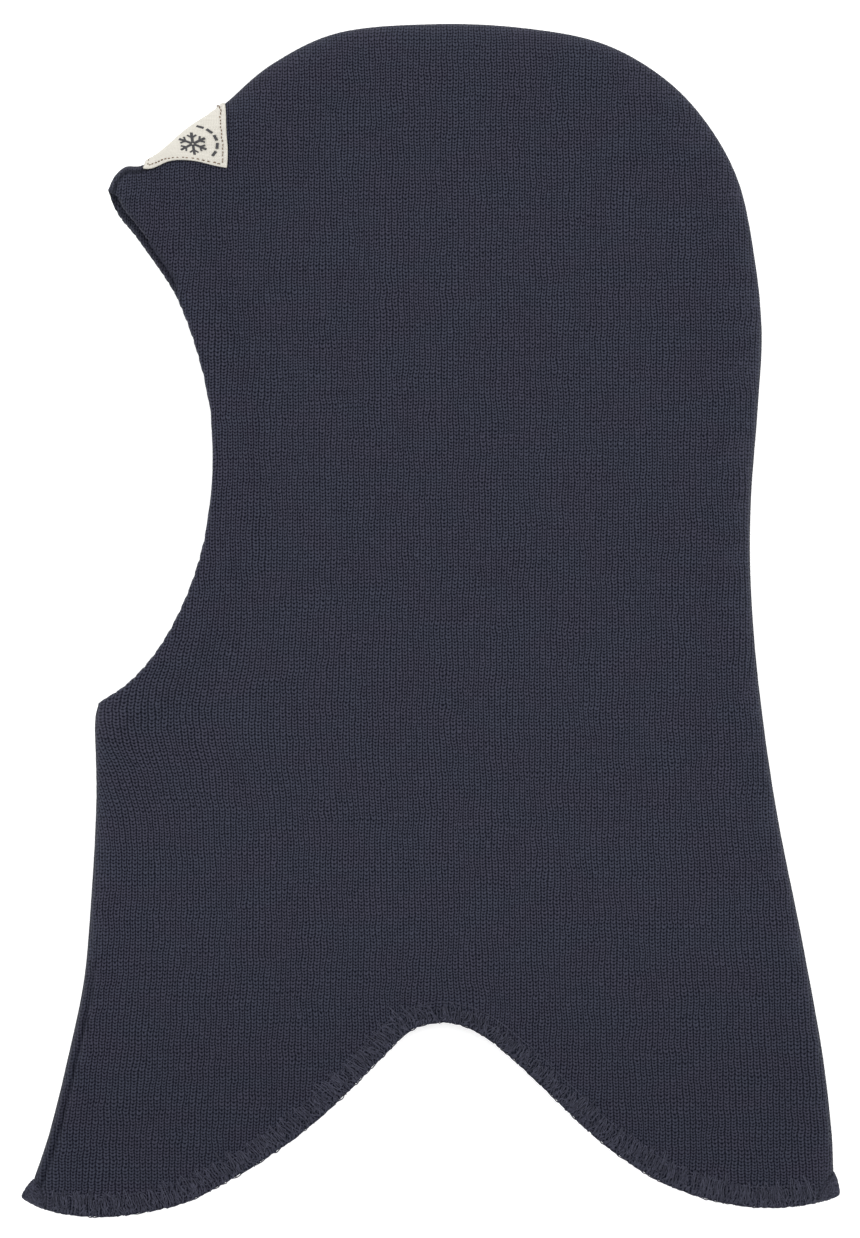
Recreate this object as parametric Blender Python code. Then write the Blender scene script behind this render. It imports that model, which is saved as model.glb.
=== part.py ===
"""Child's balaclava: two layers of rib-knit wool, lying flat on its right side.

+Z is up from the table and is the wearer's left, +X is the back of the head, -X is the face,
+Y is the crown and -Y is the hem. Lengths are in millimetres until a mesh is made.
"""
import math

import bmesh
import bpy
import numpy as np
from mathutils.geometry import delaunay_2d_cdt

MM = 0.001

# Driving dimensions.
FABRIC = 1.2              # one knit layer
HEM_FABRIC = 0.8          # one knit layer where the overlock squeezes it
CLEARANCE = 0.3           # air between pieces that touch
HOOD_CAVITY = 11.0        # room for the head, as the hood lies
NECK_CAVITY = 7.0
FACE_CAVITY = 5.5         # gap between the two sides at the face opening
HOOD_EDGE_RADIUS = 12.0   # how far in from a seam the fabric takes to round over
NECK_EDGE_RADIUS = 7.0
LINING_INSET = 8.0        # the lining is this much smaller along its seams
FACE_SEAM_ROOM = 1.3      # extra air between the layers for the turned face edge
FACE_SEAM_BAND = 6.5
HEM_BAND = 6.8            # width that the overlock squeezes
HEM_LIFT = 0.9            # the overlock holds the lower hem off the table
THREAD_WALL = 0.5         # thickness of the overlock's thread layer
OVERLOCK_WIDTH = 5.4
NEEDLE_LINE_INSET = 6.1
NEEDLE_THREAD = 0.6       # diameter
LABEL_DIAGONAL = 27.8     # the oblong is folded corner to corner along this
LABEL_DEPTH = 13.4        # from the fold to the corner that hangs over each side
LABEL_LEAN = 0.24         # those corners lie off the middle by this much of their depth
LABEL_THICKNESS = 0.5
LABEL_CENTRE = (-65.2, 130.9)
LABEL_STANDOFF = 0.95
PRINT_CENTRE = (-0.6, 5.0)    # along the label's fold from its middle, and down its left half
LABEL_THREAD = 0.4        # diameter
LABEL_THREAD_INSET = 1.6
EDGE_STEP = 9.0           # spacing of points along the outline
LATTICE_STEP = 14.0       # spacing of points inside it

# The outline, clockwise from the brow. Each run is a smooth curve through its points; the hem's
# is the outer face of the overlock.
CROWN_AND_BACK = [
    (-86.4, 115.6), (-84.6, 119.2), (-81.6, 121.7), (-77.6, 122.0), (-73.6, 124.2), (-66.4, 129.9),
    (-60.0, 134.5), (-54.0, 139.2), (-42.0, 149.5), (-24.0, 157.8), (2.5, 160.0), (26.0, 158.8),
    (46.0, 154.8), (62.0, 145.9), (73.6, 134.0), (82.2, 118.6), (86.4, 100.0), (88.7, 78.0),
    (87.5, 55.0), (85.8, 32.0), (85.8, 10.0), (88.0, -17.0), (92.7, -50.0), (99.6, -85.0),
    (104.7, -115.0), (107.0, -136.0), (107.5, -147.6)]
HEM = [
    (103.2, -156.1), (90.0, -156.8), (80.0, -155.8), (70.0, -153.3), (58.0, -148.0), (44.0, -138.0),
    (30.0, -124.7), (19.0, -114.7), (10.5, -109.1), (2.5, -107.5), (-5.5, -109.9), (-13.0, -117.0),
    (-24.0, -127.9), (-37.0, -138.9), (-52.0, -148.6), (-67.0, -155.9), (-86.0, -159.2), (-103.0, -158.0)]
BIB = [
    (-106.3, -149.6), (-102.0, -136.5), (-97.3, -117.4), (-92.9, -96.0), (-90.8, -72.0),
    (-89.6, -48.0), (-89.9, -28.0), (-89.0, -21.9)]
FACE = [
    (-89.0, -21.9), (-80.2, -15.9), (-72.0, -6.2), (-65.1, 7.0), (-60.4, 22.0), (-58.5, 38.0),
    (-58.6, 54.0), (-61.9, 70.5), (-68.1, 87.0), (-78.2, 102.2), (-83.9, 109.4), (-86.4, 115.6)]

KNIT_NAVY = (0.031, 0.034, 0.047)
LINING_NAVY = (0.028, 0.031, 0.043)
THREAD_NAVY = (0.045, 0.048, 0.064)
LABEL_CREAM = (0.72, 0.68, 0.58)
LABEL_TAN = (0.42, 0.26, 0.13)
PRINT_CHARCOAL = (0.03, 0.03, 0.032)
SATIN_WHITE = (0.80, 0.80, 0.78)


# ---------------------------------------------------------------- curves in plan
def dense_curve(points, per_span=24):
    """Catmull-Rom curve through the points, finely sampled."""
    knots = np.array([2 * np.array(points[0]) - points[1], *points, 2 * np.array(points[-1]) - points[-2]])
    samples = []
    for before, start, end, after in zip(knots, knots[1:], knots[2:], knots[3:]):
        for t in np.arange(per_span) / per_span:
            bend = 2 * before - 5 * start + 4 * end - after
            twist = 3 * start - before - 3 * end + after
            samples.append(0.5 * (2 * start + (end - before) * t + bend * t ** 2 + twist * t ** 3))
    samples.append(knots[-2])
    return np.array(samples)


def arc_lengths(curve):
    return np.concatenate([[0.0], np.cumsum(np.linalg.norm(np.diff(curve, axis=0), axis=1))])


def resample(curve, step):
    """Evenly spaced points along a dense curve, about a step apart."""
    lengths = arc_lengths(curve)
    count = max(2, round(lengths[-1] / step) + 1)
    at = np.linspace(0.0, lengths[-1], count)
    return np.stack([np.interp(at, lengths, curve[:, axis]) for axis in (0, 1)], axis=1)


def inward_normals(curve):
    """Unit normals to the right of travel, which point into the clockwise outline."""
    along = np.gradient(curve, axis=0)
    along /= np.linalg.norm(along, axis=1)[:, None]
    return np.stack([along[:, 1], -along[:, 0]], axis=1)


def distance(x, y, curve):
    """Shortest distance from a plan point to a polyline."""
    start = curve[:-1]
    span = curve[1:] - start
    offset = np.array([x, y]) - start
    along = np.clip((offset * span).sum(1) / np.maximum((span ** 2).sum(1), 1e-12), 0.0, 1.0)
    return float(np.linalg.norm(offset - along[:, None] * span, axis=1).min())


def inside(point, corners):
    """Whether a plan point lies in a polygon."""
    following = np.roll(corners, -1, axis=0)
    crosses = (corners[:, 1] > point[1]) != (following[:, 1] > point[1])
    rise = np.where(following[:, 1] == corners[:, 1], 1.0, following[:, 1] - corners[:, 1])
    reach = corners[:, 0] + (point[1] - corners[:, 1]) / rise * (following[:, 0] - corners[:, 0])
    return bool((crosses & (reach > point[0])).sum() % 2)


def set_in(points, amount):
    """The points of a run moved inward."""
    points = np.array(points)
    return points + inward_normals(points) * amount


CROWN_CURVE = dense_curve(CROWN_AND_BACK)
HEM_CURVE = dense_curve(set_in(HEM, CLEARANCE + THREAD_WALL))
BIB_CURVE = dense_curve(BIB)
FACE_CURVE = dense_curve(FACE)
CORNER_BACK = np.array([CROWN_CURVE[-1], HEM_CURVE[0]])
CORNER_FRONT = np.array([HEM_CURVE[-1], BIB_CURVE[0]])
SEAM_RUNS = [CROWN_CURVE, CORNER_BACK, CORNER_FRONT, BIB_CURVE]


def seam_distance(x, y):
    """Distance to the nearest edge where the left and right sides are sewn together."""
    return min(distance(x, y, run) for run in SEAM_RUNS)


# ---------------------------------------------------------------- heights of the fabric faces
def fade(t):
    """0 below 0, 1 above 1, smooth in between."""
    t = min(1.0, max(0.0, t))
    return t * t * (3 - 2 * t)


def flat_faces(x, y):
    """Heights of the eight fabric faces away from the seams, from the table up."""
    to_face = distance(x, y, FACE_CURVE)
    to_hem = distance(x, y, HEM_CURVE)
    to_label = math.hypot(x - LABEL_CENTRE[0], y - LABEL_CENTRE[1])
    squeeze = 1 - fade((to_hem - HEM_BAND) / 4)
    layer = FABRIC + (HEM_FABRIC - FABRIC) * squeeze
    between = CLEARANCE + FACE_SEAM_ROOM * (1 - fade((to_face - FACE_SEAM_BAND) / 7.5))
    hood = fade((y + 60) / 90)
    open_room = NECK_CAVITY + (HOOD_CAVITY - NECK_CAVITY) * hood
    cavity = FACE_CAVITY + (open_room - FACE_CAVITY) * fade(to_face / 40)
    hem_lift = HEM_LIFT * (1 - fade((to_hem - HEM_BAND) / 5))
    label_lift = 1.9 * (1 - fade((to_label - 16) / 14))
    steps = [hem_lift + label_lift, layer, between, layer, cavity, layer, between, layer]
    return np.cumsum(steps)


# How far in from a seam each fabric face begins, in the order that flat_faces gives them: the
# right outer panel's outside and inside, the right lining's, the left lining's inside and outside,
# and the left outer panel's.
FACE_INSETS = [0.0, FABRIC, LINING_INSET, LINING_INSET + FABRIC,
               LINING_INSET + FABRIC, LINING_INSET, FABRIC, 0.0]


def edge_radius(y):
    return NECK_EDGE_RADIUS + (HOOD_EDGE_RADIUS - NECK_EDGE_RADIUS) * fade((y + 60) / 90)


def seam_height(x, y):
    """Height of the seam line, halfway up the stack."""
    flats = flat_faces(x, y)
    return (flats[0] + flats[7]) / 2


def face_height(face, x, y, to_seam=None):
    """Height of one fabric face, rounded over towards the seam line."""
    if to_seam is None:
        to_seam = seam_distance(x, y)
    flats = flat_faces(x, y)
    middle = (flats[0] + flats[7]) / 2
    side = 1 if face >= 4 else -1
    rim = middle + side * CLEARANCE / 2
    lining = face in (2, 3, 4, 5)
    inset = FACE_INSETS[face]
    outside_inset = LINING_INSET if lining else 0.0
    radius = edge_radius(y) - (3.0 if lining else 0.0) - (inset - outside_inset)
    u = min(1.0, max(0.0, (to_seam - inset) / radius))
    return rim + (flats[face] - rim) * math.sqrt(1 - (1 - u) ** 2)


# ---------------------------------------------------------------- the shared plan triangulation
def open_run(curve):
    """An open edge's points, and which of them are where the lining's rim meets it at each end."""
    insets = np.array([seam_distance(*point) for point in curve])
    lined = np.where(insets >= LINING_INSET)[0]
    first, last = lined[0], lined[-1]
    pieces = [curve[:first + 1], curve[first:last + 1], curve[last:]]
    start, middle, end = [resample(piece, EDGE_STEP) for piece in pieces]
    points = np.concatenate([start[:-1], middle, end[1:]])
    return points, len(start) - 1, len(start) + len(middle) - 2


class Plan:
    """Every fabric face is cut from this one set of triangles, so stacked faces never cross."""

    def __init__(self):
        self.points = []
        self.insets = []
        self.constraints = []
        self.add_outline()
        self.add_lining_rim()
        self.add_bands()
        self.add_lattice()
        self.triangulate()

    def add(self, point, inset=None):
        self.points.append((float(point[0]), float(point[1])))
        self.insets.append(seam_distance(*point) if inset is None else inset)
        return len(self.points) - 1

    def add_outline(self):
        crown = [self.add(p, 0.0) for p in resample(CROWN_CURVE, EDGE_STEP)]
        hem, hem_first, hem_last = open_run(HEM_CURVE)
        hem = [self.add(p) for p in hem]
        bib = [self.add(p, 0.0) for p in resample(BIB_CURVE, EDGE_STEP)]
        face, face_first, face_last = open_run(FACE_CURVE)
        face = [self.add(p) for p in face[1:-1]]
        for end in (hem[0], hem[-1]):
            self.insets[end] = 0.0
        self.outline = crown + hem + bib + face
        self.hem_run = hem[hem_first:hem_last + 1]
        self.face_run = face[face_first - 1:face_last]
        for end in (self.hem_run[0], self.hem_run[-1], self.face_run[0], self.face_run[-1]):
            self.insets[end] = LINING_INSET
        self.constraints += list(zip(self.outline, self.outline[1:] + self.outline[:1]))

    def ring(self, curve, inset):
        """Points at an inset from a seam, kept only where that seam is the nearest one."""
        kept = []
        points = resample(curve, EDGE_STEP)
        for point, normal in zip(points, inward_normals(points)):
            moved = point + normal * inset
            to_open = min(distance(*moved, FACE_CURVE), distance(*moved, HEM_CURVE))
            if seam_distance(*moved) > inset - 0.12 and to_open > 3.0 and self.within(moved, self.outline):
                kept.append(self.add(moved, inset))
        return kept

    def within(self, point, loop):
        """Whether a plan point lies in a loop of this plan's points."""
        return inside(point, np.array([self.points[i] for i in loop]))

    def add_lining_rim(self):
        crown = self.ring(CROWN_CURVE, LINING_INSET)
        bib = self.ring(BIB_CURVE, LINING_INSET)
        self.lining = crown + self.hem_run + bib + self.face_run
        self.constraints += list(zip(self.lining, self.lining[1:] + self.lining[:1]))

    def add_bands(self):
        for inset in (FABRIC, 4.0, LINING_INSET + FABRIC, 13.0):
            self.ring(CROWN_CURVE, inset)
            self.ring(BIB_CURVE, inset)
        for curve, insets in ((HEM_CURVE, (HEM_BAND, HEM_BAND + 4)), (FACE_CURVE, (FACE_SEAM_BAND, 14.0))):
            for inset in insets:
                points = resample(curve, EDGE_STEP)
                for point, normal in zip(points, inward_normals(points)):
                    moved = point + normal * inset
                    if distance(*moved, curve) > inset - 0.3 and seam_distance(*moved) > 15.0:
                        self.add(moved)

    def add_lattice(self):
        taken = np.array(self.points)
        for x in np.arange(-105, 105, LATTICE_STEP):
            for y in np.arange(-155, 158, LATTICE_STEP):
                clear = np.hypot(taken[:, 0] - x, taken[:, 1] - y).min()
                if clear > 0.6 * LATTICE_STEP and self.within((x, y), self.outline):
                    self.add((x, y))

    def triangulate(self):
        corners, _, faces, came_from, _, _ = delaunay_2d_cdt(
            self.points, self.constraints, [list(reversed(self.outline))], 1, 1e-5)
        source = [origins[0] for origins in came_from]
        self.triangles = [[source[i] for i in face] for face in faces]
        middles = [np.mean([self.points[i] for i in triangle], axis=0) for triangle in self.triangles]
        self.in_lining = [self.within(middle, self.lining) for middle in middles]


# ---------------------------------------------------------------- making objects
def material(name, colour, roughness):
    made = bpy.data.materials.new(name)
    made.use_nodes = True
    shader = made.node_tree.nodes["Principled BSDF"]
    shader.inputs["Base Color"].default_value = (*colour, 1.0)
    shader.inputs["Roughness"].default_value = roughness
    shader.inputs["Metallic"].default_value = 0.0
    return made


def make_node(name, corners, faces, colour, roughness=0.9, origin=(0.0, 0.0, 0.0)):
    """A closed solid from corners in millimetres, its normals turned outward."""
    mesh = bpy.data.meshes.new(name)
    origin = np.array(origin)
    mesh.from_pydata([tuple((np.array(c) - origin) * MM) for c in corners], [], faces)
    shape = bmesh.new()
    shape.from_mesh(mesh)
    bmesh.ops.triangulate(shape, faces=shape.faces)
    bmesh.ops.recalc_face_normals(shape, faces=shape.faces)
    if shape.calc_volume(signed=True) < 0:
        bmesh.ops.reverse_faces(shape, faces=shape.faces)
    shape.to_mesh(mesh)
    shape.free()
    mesh.shade_smooth()
    mesh.set_sharp_from_angle(angle=math.radians(40))
    mesh.materials.append(material(name + "_finish", colour, roughness))
    node = bpy.data.objects.new(name, mesh)
    node.location = origin * MM
    bpy.context.scene.collection.objects.link(node)
    return node


def panel(name, plan, upper, lower, lining, colour):
    """One fabric panel: two faces of the stack, welded along the seam and walled at open edges."""
    triangles = [t for t, kept in zip(plan.triangles, plan.in_lining) if kept or not lining]
    used = sorted({i for triangle in triangles for i in triangle})
    corners = []
    top = {}
    bottom = {}
    for i in used:
        x, y = plan.points[i]
        high = face_height(upper, x, y, plan.insets[i])
        low = face_height(lower, x, y, plan.insets[i])
        top[i] = len(corners)
        corners.append((x, y, high))
        bottom[i] = top[i]
        if high - low > 1e-6:
            bottom[i] = len(corners)
            corners.append((x, y, low))
    faces = [[top[i] for i in t] for t in triangles] + [[bottom[i] for i in reversed(t)] for t in triangles]
    edges = {(a, b) for t in triangles for a, b in zip(t, t[1:] + t[:1])}
    for a, b in sorted(edges):
        if (b, a) in edges:
            continue
        wall = [top[b], top[a], bottom[a], bottom[b]]
        wall = [corner for k, corner in enumerate(wall) if corner not in wall[:k]]
        if len(wall) > 2:
            faces.append(wall)
    make_node(name, corners, faces, colour)


def sweep(name, rings, colour, closed=False, roughness=0.8):
    """A solid skinned over a row of rings of corners, capped at its ends unless it closes."""
    size = len(rings[0])
    corners = [corner for ring in rings for corner in ring]
    faces = []
    count = len(rings)
    for k in range(count if closed else count - 1):
        here = k * size
        there = ((k + 1) % count) * size
        for j in range(size):
            following = (j + 1) % size
            faces.append([here + j, here + following, there + following, there + j])
    if not closed:
        faces.append(list(range(size)))
        faces.append([(count - 1) * size + j for j in reversed(range(size))])
    make_node(name, corners, faces, colour, roughness)


# ---------------------------------------------------------------- seams inside the edges
def seam_fin(name, curve, inner, outer):
    """A flat strip of overlocked seam allowance, standing in from a seam at its height."""
    half = 0.7
    rings = []
    points = resample(curve, EDGE_STEP)
    for point, normal in zip(points, inward_normals(points)):
        centre = point + normal * LINING_INSET
        clear = min(distance(*centre, HEM_CURVE), distance(*centre, FACE_CURVE))
        if clear < 9.0 or seam_distance(*centre) < LINING_INSET - 0.3:
            continue
        z = seam_height(*point)
        section = [(inner, z), (inner + 0.5, z + half), (outer - 0.5, z + half),
                   (outer, z), (outer - 0.5, z - half), (inner + 0.5, z - half)]
        rings.append([(*(point + normal * inset), height) for inset, height in section])
    sweep(name, rings, THREAD_NAVY)


def face_edge_seam(name, side_faces):
    """The stitched allowance enclosed in the turned edge of the face opening, on one side."""
    lower, upper = side_faces
    rings = []
    points = resample(FACE_CURVE, EDGE_STEP)
    for point, normal in zip(points, inward_normals(points)):
        if seam_distance(*point) < 15.0:
            continue
        section = []
        for inset, face, gap in ((1.8, lower, CLEARANCE), (5.2, lower, CLEARANCE),
                                 (5.2, upper, -CLEARANCE), (1.8, upper, -CLEARANCE)):
            place = point + normal * inset
            section.append((*place, flat_faces(*place)[face] + gap))
        rings.append(section)
    sweep(name, rings, THREAD_NAVY)


# ---------------------------------------------------------------- the hem
def hem_overlock(name, lower, upper, plan):
    """Looper threads wrapped round the raw edge of both layers of one side, as a U in section."""
    wall_out = CLEARANCE + THREAD_WALL
    section = [(OVERLOCK_WIDTH, upper, wall_out), (-wall_out, upper, wall_out),
               (-wall_out, lower, -wall_out), (OVERLOCK_WIDTH, lower, -wall_out),
               (OVERLOCK_WIDTH, lower, -CLEARANCE), (-CLEARANCE, lower, -CLEARANCE),
               (-CLEARANCE, upper, CLEARANCE), (OVERLOCK_WIDTH, upper, CLEARANCE)]
    points = np.array([plan.points[i] for i in plan.hem_run])
    rings = []
    for point, normal in zip(points, inward_normals(points)):
        if seam_distance(*point) < 15.0:
            continue
        flats = flat_faces(*point)
        rings.append([(*(point + normal * inset), flats[face] + gap) for inset, face, gap in section])
    sweep(name, rings, THREAD_NAVY)


def thread_ring(centre, side, up, diameter):
    """Six corners round a thread, in the plane of two directions."""
    radius = diameter / 2
    turns = [k * math.tau / 6 for k in range(6)]
    return [tuple(centre + radius * (math.cos(a) * side + math.sin(a) * up)) for a in turns]


def hem_needle_thread(name, face, outward, plan):
    """The straight needle line just inside the overlock's loops, on the outside of one side."""
    points = np.array([plan.points[i] for i in plan.hem_run])
    rings = []
    for point, normal in zip(points, inward_normals(points)):
        if seam_distance(*point) < 15.0:
            continue
        place = point + normal * NEEDLE_LINE_INSET
        z = flat_faces(*point)[face] + outward * (CLEARANCE + NEEDLE_THREAD / 2)
        centre = np.array([*place, z])
        across = np.array([*normal, 0.0])
        rings.append(thread_ring(centre, across, np.array([0.0, 0.0, 1.0]), NEEDLE_THREAD))
    sweep(name, rings, THREAD_NAVY)


def corner_tack(name, corner, depth):
    """The bundled thread tails past one hem corner, a flattened bead lying along the cut."""
    start, end = corner
    along = (end - start) / np.linalg.norm(end - start)
    outward = np.array([-along[1], along[0]])
    middle = (start + end) / 2
    length = np.linalg.norm(end - start) * 0.9
    z = seam_height(*middle)
    shape = bmesh.new()
    bmesh.ops.create_icosphere(shape, subdivisions=2, radius=1.0)
    size = np.array([length / 2, depth / 2, 1.9])
    centre = middle + outward * (size[1] + CLEARANCE)
    corners = []
    for vertex in shape.verts:
        a, b, c = np.array(vertex.co) * size
        corners.append((*(centre + along * a + outward * b), z + c))
    faces = [[vertex.index for vertex in face.verts] for face in shape.faces]
    shape.free()
    make_node(name, corners, faces, THREAD_NAVY)


# ---------------------------------------------------------------- the forehead label
CROWN_LENGTHS = arc_lengths(CROWN_CURVE)
CROWN_NORMALS = inward_normals(CROWN_CURVE)
LABEL_ALONG = CROWN_LENGTHS[np.hypot(CROWN_CURVE[:, 0] - LABEL_CENTRE[0],
                                     CROWN_CURVE[:, 1] - LABEL_CENTRE[1]).argmin()]


def over_crown(along, across, gap):
    """A point above the fabric near the crown seam: along it from the label's middle, and across it.

    Positive across runs over the left side and negative over the right. The point stands off the
    fabric by the gap, measured square to it.
    """
    at = LABEL_ALONG + along + LABEL_LEAN * across
    seam = np.array([np.interp(at, CROWN_LENGTHS, CROWN_CURVE[:, axis]) for axis in (0, 1)])
    inward = np.array([np.interp(at, CROWN_LENGTHS, CROWN_NORMALS[:, axis]) for axis in (0, 1)])
    side = 1 if across >= 0 else -1
    radius = edge_radius(seam[1])
    depth = abs(across)
    turn = math.acos(max(0.0, 1 - depth / radius))
    place = seam + inward * depth
    flats = flat_faces(*place)
    middle = (flats[0] + flats[7]) / 2
    rise = (flats[7] - flats[0]) / 2
    square_in = -math.cos(turn) * rise
    square_up = math.sin(turn) * radius
    size = math.hypot(square_in, square_up)
    shift = gap * square_in / size
    height = middle + side * (rise * math.sin(turn) + gap * square_up / size)
    return np.array([*(place + inward * shift), height])


def label_depth(along):
    """How far the label hangs over each side at a place along its fold."""
    return LABEL_DEPTH * (1 - abs(along) / (LABEL_DIAGONAL / 2))


def label_grid(name, low, high, colour, columns=12, rows=14):
    """The folded oblong of cloth between two stand-off distances from the fabric."""
    corners = []
    index = {}
    for layer, gap in enumerate((low, high)):
        for i in range(columns + 1):
            along = LABEL_DIAGONAL / 2 * (2 * i / columns - 1) * 0.98
            depth = label_depth(along)
            for j in range(-rows // 2, rows // 2 + 1):
                share = 2 * j / rows
                across = depth * math.copysign(abs(share) ** 1.6, share)
                index[layer, i, j] = len(corners)
                corners.append(over_crown(along, across, gap))
    half = rows // 2
    faces = []
    for i in range(columns):
        for j in range(-half, half):
            for layer, turn in ((0, 1), (1, -1)):
                quad = [index[layer, i, j], index[layer, i + 1, j],
                        index[layer, i + 1, j + 1], index[layer, i, j + 1]]
                faces.append(quad[::turn])
        for j in (-half, half):
            faces.append([index[0, i, j], index[0, i + 1, j], index[1, i + 1, j], index[1, i, j]])
    for i in (0, columns):
        for j in range(-half, half):
            faces.append([index[0, i, j], index[0, i, j + 1], index[1, i, j + 1], index[1, i, j]])
    make_node(name, corners, faces, colour)


def label_stitching():
    """One closed loop of thread running round the label, just inside its four sides."""
    reach = LABEL_DEPTH - LABEL_THREAD_INSET * 1.2
    stretch = LABEL_DIAGONAL / 2 / LABEL_DEPTH
    gap = LABEL_STANDOFF + LABEL_THICKNESS + CLEARANCE + LABEL_THREAD / 2
    half = 12
    rings = []
    for end in (1, -1):
        for k in range(-half, half):
            share = end * k / half
            across = reach * math.copysign(abs(share) ** 1.8, share)
            along = end * stretch * (reach - abs(across))
            centre = over_crown(along, across, gap)
            up = over_crown(along, across, gap + 1.0) - centre
            onward = across + end * 0.02
            run = over_crown(end * stretch * (reach - abs(onward)), onward, gap) - centre
            side = np.cross(run, up)
            side /= np.linalg.norm(side)
            up /= np.linalg.norm(up)
            rings.append(thread_ring(centre, side, up, LABEL_THREAD))
    sweep("forehead_label_stitching", rings, LABEL_TAN, closed=True)


def label_print(name, outline, low, high):
    """A flat printed mark on the left half of the label, from an outline in label coordinates."""
    corners = []
    for gap in (low, high):
        corners += [over_crown(along, across, gap) for along, across in outline]
    count = len(outline)
    faces = [list(range(count)), [count + k for k in reversed(range(count))]]
    for k in range(count):
        following = (k + 1) % count
        faces.append([k, following, count + following, count + k])
    make_node(name, corners, faces, PRINT_CHARCOAL)


def snowflake_outline(centre, reach, half_width):
    """A plain six-armed star of straight bars."""
    outline = []
    for arm in range(6):
        a = arm * math.tau / 6
        ahead = np.array([math.cos(a), math.sin(a)])
        side = np.array([-ahead[1], ahead[0]])
        notch = half_width / math.tan(math.tau / 12)
        for out, across in ((notch, -half_width), (reach, -half_width), (reach, half_width)):
            outline.append(tuple(np.array(centre) + ahead * out + side * across))
    return outline


def arc_outline(centre, radius, width, start, end, steps=8):
    """A band bent along part of a circle."""
    outline = []
    for reach, order in ((radius, range(steps + 1)), (radius + width, reversed(range(steps + 1)))):
        for k in order:
            a = math.radians(start + (end - start) * k / steps)
            outline.append((centre[0] + reach * math.cos(a), centre[1] + reach * math.sin(a)))
    return outline


def forehead_label():
    cloth = (LABEL_STANDOFF, LABEL_STANDOFF + LABEL_THICKNESS)
    label_grid("forehead_label", *cloth, LABEL_CREAM)
    label_stitching()
    ink = (cloth[1] + CLEARANCE, cloth[1] + CLEARANCE + 0.25)
    label_print("forehead_label_snowflake", snowflake_outline(PRINT_CENTRE, 2.0, 0.3), *ink)
    label_print("forehead_label_arc", arc_outline(PRINT_CENTRE, 3.6, 0.5, -30, 80), *ink)


# ---------------------------------------------------------------- the care label
CARE_ROOT = (75.0, 12.0)      # plan place of its sewn end's middle, by the back seam of the lining
CARE_WIDTH = 20.0
CARE_LENGTH = 28.0
CARE_THICKNESS = 0.6
CARE_DROOP = math.radians(7.4)


def care_label():
    """A blank satin label sewn into the lining's back seam, its free end resting on the lining."""
    x, y = CARE_ROOT
    pivot = np.array([x, y, seam_height(x, y) - 1.0])
    run = np.array([-math.cos(CARE_DROOP), 0.0, -math.sin(CARE_DROOP)])
    up = np.array([-run[2], 0.0, run[0]]) * -1
    corners = []
    for reach in (1.0, CARE_LENGTH):
        for across in (-CARE_WIDTH / 2, CARE_WIDTH / 2):
            for lift in (-CARE_THICKNESS / 2, CARE_THICKNESS / 2):
                corners.append(pivot + run * reach + np.array([0.0, across, 0.0]) + up * lift)
    faces = [[0, 1, 3, 2], [4, 6, 7, 5], [0, 4, 5, 1], [2, 3, 7, 6], [0, 2, 6, 4], [1, 5, 7, 3]]
    make_node("care_label", corners, faces, SATIN_WHITE, 0.45, origin=pivot)
    across = np.array([1.0, 0.0, 0.0])
    rings = []
    for end in (-0.5, 0.5):
        centre = pivot + np.array([0.0, end * (CARE_WIDTH - 2.0), 0.0])
        rings.append(thread_ring(centre, across, np.array([0.0, 0.0, 1.0]), 1.0))
    sweep("care_label_stitching", rings, SATIN_WHITE)


def clear_scene():
    for item in list(bpy.data.objects):
        bpy.data.objects.remove(item, do_unlink=True)


def main():
    clear_scene()
    plan = Plan()
    panel("outer_right_panel", plan, 1, 0, False, KNIT_NAVY)
    panel("lining_right_panel", plan, 3, 2, True, LINING_NAVY)
    panel("lining_left_panel", plan, 5, 4, True, LINING_NAVY)
    panel("outer_left_panel", plan, 7, 6, False, KNIT_NAVY)
    for name, curve in (("crown_back_seam", CROWN_CURVE), ("bib_seam", BIB_CURVE)):
        seam_fin(name + "_outer", curve, 1.8, 4.3)
        seam_fin(name + "_lining", curve, 4.8, 7.4)
    face_edge_seam("face_edge_seam_right", (1, 2))
    face_edge_seam("face_edge_seam_left", (5, 6))
    hem_overlock("hem_overlock_right", 0, 3, plan)
    hem_overlock("hem_overlock_left", 4, 7, plan)
    hem_needle_thread("hem_needle_thread_right", 0, -1, plan)
    hem_needle_thread("hem_needle_thread_left", 7, 1, plan)
    corner_tack("hem_corner_tack_back", CORNER_BACK, 3.5)
    corner_tack("hem_corner_tack_front", CORNER_FRONT, 4.5)
    forehead_label()
    care_label()


main()
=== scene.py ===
"""Looks of a child's rib-knit balaclava, lying flat on its right side on a pale floor.

Lengths are in millimetres until a mesh is made. +Z is up and is the wearer's left side, -X is the
face, +X the back of the head, +Y the crown and -Y the hem.
"""
import math

import bpy
import numpy as np
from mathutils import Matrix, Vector
from mathutils.geometry import delaunay_2d_cdt
from mathutils.kdtree import KDTree


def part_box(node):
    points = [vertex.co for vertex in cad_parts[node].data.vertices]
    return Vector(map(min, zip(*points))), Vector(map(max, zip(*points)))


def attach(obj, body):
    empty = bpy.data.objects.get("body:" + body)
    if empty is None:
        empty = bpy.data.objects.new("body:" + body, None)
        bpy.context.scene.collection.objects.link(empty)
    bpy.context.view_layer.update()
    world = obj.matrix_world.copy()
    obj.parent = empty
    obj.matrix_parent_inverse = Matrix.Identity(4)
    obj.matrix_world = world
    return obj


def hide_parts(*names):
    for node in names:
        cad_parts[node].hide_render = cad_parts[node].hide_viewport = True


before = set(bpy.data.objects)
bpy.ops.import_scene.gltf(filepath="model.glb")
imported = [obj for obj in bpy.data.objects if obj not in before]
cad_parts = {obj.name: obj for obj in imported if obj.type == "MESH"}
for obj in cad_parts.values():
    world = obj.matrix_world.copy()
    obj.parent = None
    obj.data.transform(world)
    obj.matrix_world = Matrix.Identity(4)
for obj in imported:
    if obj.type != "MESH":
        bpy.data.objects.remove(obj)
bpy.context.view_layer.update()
MM = 0.001
RANDOM = np.random.default_rng(7)

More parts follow.
